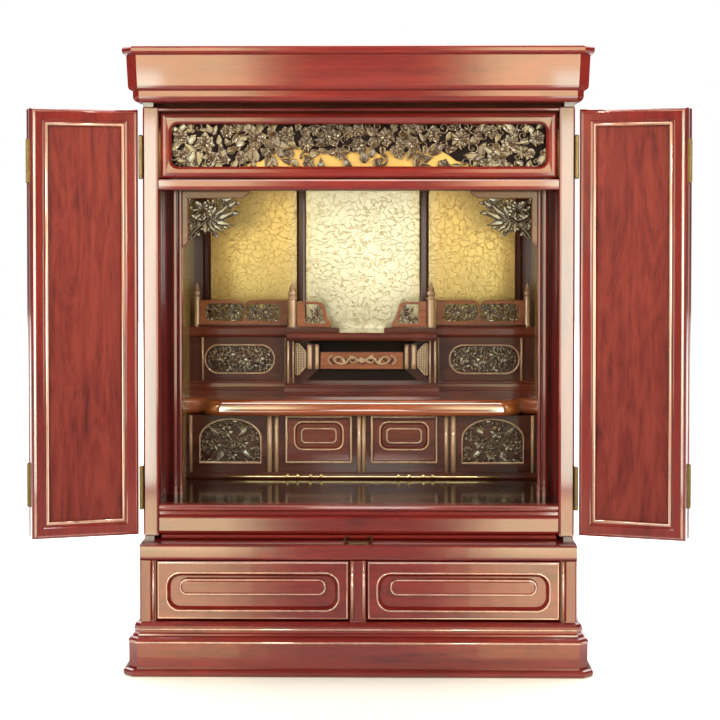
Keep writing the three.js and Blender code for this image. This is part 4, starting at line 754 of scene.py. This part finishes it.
    # lower tier: an arched field full of small flowers
    a_, b_, zlo, zhi = 110.0, 177.0, 176.7, 224.6
    cx, hw = -(a_ + b_) / 2, (b_ - a_) / 2
    pts = [(cx - hw, zlo), (cx + hw, zlo), (cx + hw, zhi - 22)] + [(cx + hw * math.cos(math.pi * i / 16), zhi - 22 + 22 * math.sin(math.pi * i / 16)) for i in range(1, 16)] + [(cx - hw, zhi - 22)]
    arch = within(pts)
    pts_arch = [(x, z) for x, z in pts]
    c = Carving(FIELD_LOW)
    rng = random.Random(41)
    keep = []
    c.tube([(cx - 26, zlo + 6, 1.4), (cx - 12, zlo + 18, 2), (cx + 4, zlo + 16, 2), (cx + 20, zlo + 30, 1.6)], 1.5, 1.2)
    for u, v, r in ((-4, 34, 8.8), (14, 22, 7.8), (-17, 20, 7.8), (2, 9, 6.8)):
        c.blossom(cx + u, zlo + v, r, 6, h=3.0, depth=1.0)
        keep.append((cx + u, zlo + v, r * 0.7))
    for u, v, a, s in ((-10, 30, 2.6, 16), (6, 30, 0.6, 17), (-8, 12, -2.2, 14), (14, 14, -0.8, 14)):
        c.petal(cx + u, zlo + v, a, s + 0.6, s * 0.56, h0=2.3, rise=1, cup=0.9, rib=0.5, lobes=2)
    c.scatter(lambda x, z: arch(x, z, 1.4), (cx - hw, cx + hw, zlo, zhi), 3.9, rng, lambda c, x, z, rng: (c.blossom(x, z, rng.uniform(2.3, 3.3), 5, h=0.8, turn=rng.uniform(0, 6)) if rng.random() < 0.55 else sprig(5.6, floor=0.1, h=0.7)(c, x, z, rng)), keep)
    g = c.build("arched_flower_carving_" + side, carved, "cabinet", mirror)

# a thin gilt bead along the foot of the lower tier, with two groups of studs
c = Carving(190.6)
c.tube([(-148, 162.0, 0.2), (-60, 162.0, 0.2), (60, 162.0, 0.2), (150, 162.0, 0.2)], 0.75, n=8, smooth=3)
for x in (-80.8, -69.4, -55.5, -43.8, 40.7, 52.2, 67.5, 77.7):
    c.dome(x, 163.0, 2.0, 2.6, floor=0.0, n=12, rings=4)
g = c.build("plinth_gilt_bead", gold_stud, "cabinet")

for mirror, side in ((False, "left"), (True, "right")):
    # fine upright frets in front of the half-octagon wings
    c = Carving(217.2)
    for k in range(5):
        x = -70.9 + k * 1.95
        cut = max(0.0, (x + 69.6) * 1.08)
        z0, z1 = 271.8 + cut, 305.2 - cut
        c.tube([(x, z0, 0.3), (x, (z0 + z1) / 2, 0.3), (x, z1, 0.3)], 0.55, n=6, smooth=2)
    for k in range(12):
        z = 273.4 + k * 2.78
        reach = min(9.0, 2.2 + min(z - 271, 306 - z) / 1.08)
        c.tube([(-72.4, z, 0.1), (-72.4 + reach / 2, z, 0.1), (-72.4 + reach, z, 0.1)], 0.4, n=6, smooth=1)
    edge = [(-73.0, 271.4), (-73.0, 305.6), (-69.6, 305.6), (-62.0, 297.2), (-62.0, 280.0), (-69.6, 271.4), (-73.0, 271.4)]
    for a, b in zip(edge, edge[1:]):
        c.tube([(*a, 0.4), ((a[0] + b[0]) / 2, (a[1] + b[1]) / 2, 0.4), (*b, 0.4)], 0.6, n=6, smooth=1)
    g = c.build("fret_wing_" + side, light_wood, "cabinet", mirror)
    # a pair of round posts beside each wing
    c = Carving(219.4)
    for x, r in ((-57.6, 2.9), (-49.6, 2.3)):
        c.tube([(x, 277.6, 0.4), (x, 291, 0.4), (x, 304.5, 0.4)], r, n=14, smooth=2)
    g = c.build("paired_posts_" + side, reed_painted_highlight, "cabinet", mirror)

# beads and reeds, each standing half round from the board behind it
def ring(c, loop, r, h=0.0, n=8):
    """A closed bead along a loop of points."""
    m = len(loop)
    pts, faces = [], []
    for i, (x, z) in enumerate(loop):
        (xa, za), (xb, zb) = loop[i - 1], loop[(i + 1) % m]
        q = math.hypot(xb - xa, zb - za) or 1
        nx, nz = -(zb - za) / q, (xb - xa) / q
        # keep the width at sharp corners
        ua, ub = math.atan2(z - za, x - xa), math.atan2(zb - z, xb - x)
        k = 1 / max(0.5, math.cos(((ub - ua + math.pi) % (2 * math.pi) - math.pi) / 2))
        for t in range(n):
            g = 2 * math.pi * t / n
            pts.append((x + nx * r * k * math.cos(g), z + nz * r * k * math.cos(g), h + r * math.sin(g)))
    for i in range(m):
        for t in range(n):
            a, b = i * n, (i + 1) % m * n
            faces.append((a + t, a + (t + 1) % n, b + (t + 1) % n, b + t))
    c.add(pts, faces)


def upright(c, x, r, z0, z1, h=0.0, n=16):
    pts = [(x + r * math.cos(2 * math.pi * t / n), z, h + r * math.sin(2 * math.pi * t / n)) for z in (z0, z1) for t in range(n)]
    c.add(pts, [(t, (t + 1) % n, n + (t + 1) % n, n + t) for t in range(n)] + [tuple(range(n)), tuple(range(2 * n - 1, n - 1, -1))])


for mirror, side in ((False, "left"), (True, "right")):
    c = Carving(-31.0)
    cx = -102.6
    ring(c, rounded(cx, 80.3, 83.9, 18.5, 13.1, 10), 1.0, -0.15, 10)
    ring(c, rounded(cx, 84.8, 70.6, 7.0, 6.6, 10), 0.9, -0.6, 10)
    ring(c, rounded(cx, 81.5, 92.0, 26.9, 0.6, 2), 0.7, -0.55, 8)
    g = c.build("drawer_beads_" + side, edge_painted_highlight, side + "_drawer", mirror)
    c = Carving(-31.0)
    upright(c, -5.6, 1.5, 53.5, 110.5, 0.2)
    upright(c, -199.3, 1.3, 53.5, 110.5, 0.0)
    g = c.build("case_beads_" + side, edge_painted_highlight, "cabinet", mirror)
    c = Carving(195.0)
    ring(c, rounded(-46.7, 206.2, 26.5, 15.1, 9, 8), 1.0, 0.0, 10)
    ring(c, rounded(-46.7, 206.2, 18.9, 7.7, 4.4, 8), 0.9, -0.4, 10)
    g = c.build("small_drawer_beads_" + side, reed_painted_highlight, side + "_small_drawer", mirror)
    c = Carving(195.0)
    ring(c, rounded(-46.7, 202.5, 35.3, 24.9, 0.6, 2), 1.2, 1.9, 10)
    upright(c, -100.4, 2.75, 166.3, 228.8, 1.6)
    upright(c, -92.8, 2.15, 166.3, 228.8, 1.2)
    upright(c, -186.9, 1.95, 166.3, 228.8, 0.8)
    upright(c, -2.5, 2.2, 166.3, 228.8, 1.0)
    ring(c, [(x, z) for x, z in pts_arch], 0.95, 0.8, 8)
    g = c.build("lower_tier_beads_" + side, reed_painted_highlight, "cabinet", mirror)
    c = Carving(231.3)
    ring(c, rounded(-136.15, 287.4, 38.6, 15.7, 15.2, 10), 0.9, 0.0, 8)
    upright(c, -177.2, 1.4, 262.6, 311.6, 0.6)
    upright(c, -86.2, 2.4, 262.6, 311.6, 1.2)
    upright(c, -81.0, 1.35, 262.6, 311.6, 19.6)
    upright(c, -75.4, 1.0, 262.6, 311.6, 20.0)
    g = c.build("upper_tier_beads_" + side, reed_painted_highlight, "cabinet", mirror)

def plain_mesh(name, verts, faces, material, body):
    """A closed mesh in metres, smooth, riding on a body."""
    me = bpy.data.meshes.new(name)
    me.from_pydata(verts, [], faces)
    bm = bmesh.new()
    bm.from_mesh(me)
    bmesh.ops.recalc_face_normals(bm, faces=bm.faces)
    bm.to_mesh(me)
    bm.free()
    me.polygons.foreach_set("use_smooth", [True] * len(me.polygons))
    me.materials.append(material)
    o = bpy.data.objects.new(name, me)
    bpy.context.scene.collection.objects.link(o)
    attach(o, body)
    return o


def closed_bead(verts, faces, path, normals, up, r, n=10):
    """Adds a bead along a closed path of Vectors; normals point out of each mitred corner and carry its widening."""
    k = len(verts)
    m = len(path)
    for q, nv in zip(path, normals):
        for t in range(n):
            g = 2 * math.pi * t / n
            verts.append(tuple(q + nv * (r * math.cos(g)) + up * (r * math.sin(g))))
    for i in range(m):
        for t in range(n):
            a, b = k + i * n, k + (i + 1) % m * n
            faces.append((a + t, a + (t + 1) % n, b + (t + 1) % n, b + t))


def corner_normals(path, up):
    out = []
    m = len(path)
    for i in range(m):
        e0, e1 = (path[i] - path[i - 1]).normalized(), (path[(i + 1) % m] - path[i]).normalized()
        n0, n1 = e0.cross(up), e1.cross(up)
        b = (n0 + n1).normalized()
        out.append(b / max(0.4, b.dot(n0)))
    return out


# beads round the base's mouldings
HALF, FRONT, REAR = 200.0, -31.0, 312.0
for n_, o_ in frame["nodes"].items():
    if n_ == "base_moulding":
        co = [o_.matrix_world @ v.co for v in o_.data.vertices]
        HALF = max(v.x for v in co) * 1000 - 15.0
        REAR = max(v.y for v in co) * 1000 + MID
verts, faces = [], []
up = Vector((0, 0, 1))
for z, p_, cut, r in ((4.0, 13.85, 9.5, 1.1), (32.6, 9.9, 9.0, 1.25), (44.4, 4.4, 5.5, 1.1)):
    w, f = HALF + p_, FRONT - p_
    path = [P(x, d, z) for x, d in ((-w, REAR - 1.5), (-w, f + cut), (-w + cut, f), (w - cut, f), (w, f + cut), (w, REAR - 1.5))]
    closed_bead(verts, faces, path, corner_normals(path, up), up, r / 1000)
g = plain_mesh("base_beads", verts, faces, edge_painted_highlight, "cabinet")

# bead between each door's frame and panel, on the face seen when open
for side, sgn in (("left", -1), ("right", 1)):
    o_ = frame["nodes"]["door_frame_inner_" + side]
    pts = np.array([tuple(o_.matrix_world @ v.co) for v in o_.data.vertices])
    flat = pts[:, :2] - pts[:, :2].mean(0)
    w_, vec = np.linalg.eigh(flat.T @ flat)
    u = vec[:, 1] / np.linalg.norm(vec[:, 1])
    nrm = np.array((-u[1], u[0]))
    if nrm[1] > 0:
        nrm = -nrm
    su, sn = pts[:, :2] @ u, pts[:, :2] @ nrm
    front, lo, hi = sn.max(), su.min(), su.max()
    z0, z1 = pts[:, 2].min(), pts[:, 2].max()
    up = Vector((nrm[0], nrm[1], 0))
    verts, faces = [], []
    for inset, sink, r in ((0.0152, 0.0018, 0.0016), (0.0034, 0.0017, 0.0015)):
        a, b, c0, c1 = lo + inset, hi - inset, z0 + inset, z1 - inset
        path = [Vector((*(u * t + nrm * (front - sink)), z)) for t, z in ((a, c0), (b, c0), (b, c1), (a, c1))]
        closed_bead(verts, faces, path, corner_normals(path, up), up, r)
    g = plain_mesh("door_beads_" + side, verts, faces, edge_painted_highlight, side + "_door")

# middle shelf: bowed plan with set-back ends, and a bullnose that leans back a little
def shelf_plan(o, k=14):
    pts = [(-192.0, 298.0), (-192.0, 205.0 + o)]
    for i in range(k + 1):
        a = math.pi / 2 * i / k
        pts.append((-(174.5 - 22 * (1 - math.cos(a)) - o), 205.0 - 22 * math.sin(a) + o))
    return pts + [(-x, d) for x, d in reversed(pts)]


nose = [(228.8, 3.4), (229.1, 2.0), (229.8, 0.9), (230.9, 0.1), (232.3, -0.5), (234.0, -0.8), (236.0, -0.65), (238.0, -0.3), (240.0, 0.2), (241.8, 0.8), (243.4, 1.5), (244.6, 2.3), (245.4, 3.1), (246.0, 4.3), (246.3, 6.0)]
verts = [(x / 1000, (d - MID) / 1000, z / 1000) for z, o in nose for x, d in shelf_plan(o)]
per = len(shelf_plan(0))
faces = [(i * per + j, i * per + (j + 1) % per, (i + 1) * per + (j + 1) % per, (i + 1) * per + j) for i in range(len(nose) - 1) for j in range(per)]
half = per // 2
for base in (0, (len(nose) - 1) * per):
    faces += [(base + j, base + j + 1, base + per - 2 - j, base + per - 1 - j) for j in range(half - 1)]
me = bpy.data.meshes.new("middle_shelf_bullnose")
me.from_pydata(verts, [], faces)
bm = bmesh.new()
bm.from_mesh(me)
bmesh.ops.recalc_face_normals(bm, faces=bm.faces)
for e in bm.edges:
    e.smooth = len(e.link_faces) == 2 and e.calc_face_angle(0) < 0.5
for f in bm.faces:
    f.smooth = abs(f.normal.z) < 0.98 and abs(f.normal.x) < 0.999
bm.to_mesh(me)
bm.free()
me.materials.append(nose_wood)
nose_piece = bpy.data.objects.new("middle_shelf_bullnose", me)
bpy.context.scene.collection.objects.link(nose_piece)
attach(nose_piece, "cabinet")
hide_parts("middle_shelf")

board = slab("cartouche_board", [(-45.8, 277.2), (45.8, 277.2), (45.8, 295.6), (-45.8, 295.6)], [], 222.9, 223.9, 0.3, board_wood, "cabinet")
# painted shade: near-black sheets above and below the cartouche board stand for the shade under the upper slab and on
# the lower frieze
for name, z0, z1 in (("lower", 264.5, 277.0), ("upper", 309.5, 296.0)):
    o = [(-61.5, z0), (61.5, z0), (46.5, z1), (-46.5, z1)]
    g = slab("cartouche_painted_shade_" + name, o if z1 > z0 else list(reversed(o)), [], 229.3, 230.3, 0.1, painted_shade_board, "cabinet")

# scroll cartouche on the middle board
c = Carving(222.9)
for s_ in (-1, 1):
    c.tube([(0, 284.5, 1.0), (s_ * 5, 287.5, 1.4), (s_ * 9, 290, 1.6), (s_ * 14, 288.5, 1.4), (s_ * 17, 284.6, 1.2), (s_ * 22, 282.8, 1.2), (s_ * 27.5, 284.2, 1.4), (s_ * 30.5, 287.4, 1.6), (s_ * 28, 290.6, 1.6), (s_ * 23.5, 290.2, 1.4), (s_ * 21.8, 287.6, 1.4)], 1.15, 0.7, n=8, smooth=5)
    c.tube([(0, 289.5, 0.9), (s_ * 6, 285.8, 1.1), (s_ * 10.5, 284.2, 1.1), (s_ * 13, 286.4, 1.1)], 0.95, 0.6, n=8, smooth=5)
    c.petal(s_ * 8, 288.5, math.pi / 2 - s_ * 0.9, 7, 3.6, h0=0.8, rise=0.7, cup=0.6, rib=0.3, bend=0.1)
    c.petal(s_ * 19, 283.6, math.pi / 2 - s_ * 0.2, 7, 3.4, h0=0.8, rise=0.7, cup=0.6, rib=0.3, bend=-0.1 * s_)
    c.tube([(s_ * 33.5, 282.4, 0.5), (s_ * 36.6, 284.8, 0.6), (s_ * 37.4, 287.2, 0.6), (s_ * 36, 290.4, 0.6), (s_ * 32, 292.4, 0.5)], 0.7, 0.5, n=6, smooth=4)
c.dome(0, 287.2, 2.4, 2.4, n=10)
g = c.build("cartouche_scroll", light_wood, "cabinet")

# ------------------------------------------------------------------ studio
floor_mat, N, L = new_material("pale_floor")
out = node(N, "ShaderNodeOutputMaterial")
b = node(N, "ShaderNodeBsdfPrincipled")
n = node(N, "ShaderNodeTexNoise")
n.inputs["Scale"].default_value = 8.0
c = ramp(N, [(0.3, (0.86, 0.86, 0.86)), (0.7, (0.89, 0.89, 0.89))])
L.new(n.outputs[0], c.inputs[0])
L.new(c.outputs[0], b.inputs["Base Color"])
b.inputs["Roughness"].default_value = 0.7
L.new(b.outputs[0], out.inputs[0])
me = bpy.data.meshes.new("floor")
me.from_pydata([(-6, -6, 0), (6, -6, 0), (6, 6, 0), (-6, 6, 0)], [], [(0, 1, 2, 3)])
floor = bpy.data.objects.new("floor", me)
me.materials.append(floor_mat)
bpy.context.scene.collection.objects.link(floor)


def area(name, at, aim, size, power, colour=(1, 0.97, 0.93), spread=None):
    d = bpy.data.lights.new(name, "AREA")
    d.shape = "RECTANGLE"
    d.size, d.size_y = size
    d.energy = power
    d.color = colour
    if spread:
        d.spread = spread
    o = bpy.data.objects.new(name, d)
    o.location = at
    o.visible_camera = False
    o.rotation_euler = (Vector(aim) - Vector(at)).to_track_quat("-Z", "Y").to_euler()
    bpy.context.scene.collection.objects.link(o)
    return o


def soft_world(strength, ambient):
    """White backdrop for the eye, with a dimmer surround lighting the object."""
    world = bpy.data.worlds.new("studio")
    bpy.context.scene.world = world
    world.use_nodes = True
    nodes, links = world.node_tree.nodes, world.node_tree.links
    nodes.clear()
    out = nodes.new("ShaderNodeOutputWorld")
    mix = nodes.new("ShaderNodeMixShader")
    path = nodes.new("ShaderNodeLightPath")
    seen, lit = nodes.new("ShaderNodeBackground"), nodes.new("ShaderNodeBackground")
    seen.inputs[0].default_value = (1, 1, 1, 1)
    seen.inputs[1].default_value = strength
    lit.inputs[0].default_value = (1.0, 0.96, 0.92, 1)
    lit.inputs[1].default_value = ambient
    links.new(path.outputs["Is Camera Ray"], mix.inputs[0])
    links.new(lit.outputs[0], mix.inputs[1])
    links.new(seen.outputs[0], mix.inputs[2])
    links.new(mix.outputs[0], out.inputs[0])


WARM = (1, 0.91, 0.68)


def lamp(name, at, aim, size, radiance, colour=WARM, spread=1.2):
    """An area light given by its brightness seen head on."""
    a = spread / 2
    share = (math.tan(a) - a) / math.tan(a)
    return area(name, at, aim, size, math.pi * size[0] * size[1] * radiance * share, colour, spread)


def softbox(name, y, z0, z1, radiance, edges, colour=WARM):
    """A pair of upright softboxes, one on each side, each fading towards the middle in narrow strips."""
    for side, label in ((-1, "left"), (1, "right")):
        for k, (x0, x1, share) in enumerate(edges):
            x, z = (x0 + x1) / 2, (z0 + z1) / 2
            lamp("%s_%s_%d" % (name, label, k), (side * x, y, z), (side * x, 0, z), (x1 - x0, z1 - z0), radiance * share, colour)


FADE = ((0.07, 0.09, 0.03), (0.09, 0.11, 0.10), (0.11, 0.13, 0.22), (0.13, 0.15, 0.42), (0.15, 0.175, 0.70))
for side, label, inner in ((-1, "left", 0.262), (1, "right", 0.241)):
    for k, (x0, x1, share) in enumerate(FADE + ((0.175, inner, 0.85),)):
        x = side * (x0 + x1) / 2
        lamp("high_%s_%d" % (label, k), (x, -0.76, 0.70), (x, 0, 0.70), (x1 - x0, 0.60), 13 * share, (1, 0.90, 0.50))
    x = side * (inner + 0.35) / 2
    lamp("cornice_" + label, (x, -0.76, 0.7875), (x, 0, 0.7875), (0.35 - inner, 0.425), 11, (1, 0.90, 0.50))
    lamp("post_" + label, (x, -0.76, 0.4875), (x, 0, 0.4875), (0.35 - inner, 0.175), 21.5 - 2 * side, (0.86, 1.0, 0.80))
for side, label, x in ((-1, "left", 0.318), (1, "right", 0.286)):
    lamp("side_" + label, (side * x, -0.76, 0.245), (side * x, 0, 0.245), (0.086, 0.31), 23.5 - 2.5 * side, (0.86, 1.0, 0.82))
softbox("sill", -0.76, 0.01, 0.075, 14, FADE + ((0.175, 0.35, 1.0),), (1, 0.90, 0.52))
softbox("foot", -0.32, 0.01, 0.10, 9.5, ((0.07, 0.09, 0.06), (0.09, 0.115, 0.18), (0.115, 0.14, 0.42), (0.14, 0.165, 0.60), (0.165, 0.24, 0.75)), (1, 0.90, 0.50))
softbox("base", -0.232, 0.002, 0.034, 3.4, ((0.06, 0.09, 0.15), (0.09, 0.12, 0.4), (0.12, 0.24, 1.0)), (1, 0.90, 0.35))
for side, label in ((-1, "left"), (1, "right")):
    lamp("window_" + label, (side * 0.80, -1.0, 0.52), (0, 0.05, 0.38), (0.75, 0.8), 10, WARM, 1.3)
for side, label in ((-1, "left"), (1, "right")):
    lamp("key_" + label, (side * 0.55, -1.1, 1.0), (0, 0.05, 0.35), (0.16, 0.16), 130, (1, 0.95, 0.84), 1.0)
lamp("front_light", (-0.01, -1.99, 0.375), (-0.01, 0, 0.375), (0.23, 0.20), 16, (1, 0.97, 0.90), 1.2)
lamp("top_light", (0, -0.95, 1.55), (0, 0.05, 0.40), (1.3, 0.5), 15, (1, 0.93, 0.82), 0.7)
lamp("sky_panel", (0, 0.22, 2.4), (0, 0.22, 0), (3.4, 0.8), 66, (1, 1, 1), 0.6)
area("altar_lamp", (0, -0.02, 0.535), (0, 0.165, 0.36), (0.30, 0.03), 0.25, (1, 0.88, 0.66))
area("backdrop_light", (0, 3.2, 3.0), (0, 3.2, 0), (7, 5), 520)
soft_world(1.0, 0.10)

# camera at the photograph's viewing angle
cam = bpy.data.cameras.new("camera")
cam.lens = 92.0
cam.sensor_width = 36
cam.shift_y = -0.135
cam.clip_end = 50
camera = bpy.data.objects.new("camera", cam)
camera.location = (0.030, -1.945, 0.4421)
camera.rotation_euler = (math.radians(90 - 1.33), 0, math.radians(0.9))
bpy.context.scene.collection.objects.link(camera)
bpy.context.scene.camera = camera
bpy.context.scene.view_settings.view_transform = "Standard"
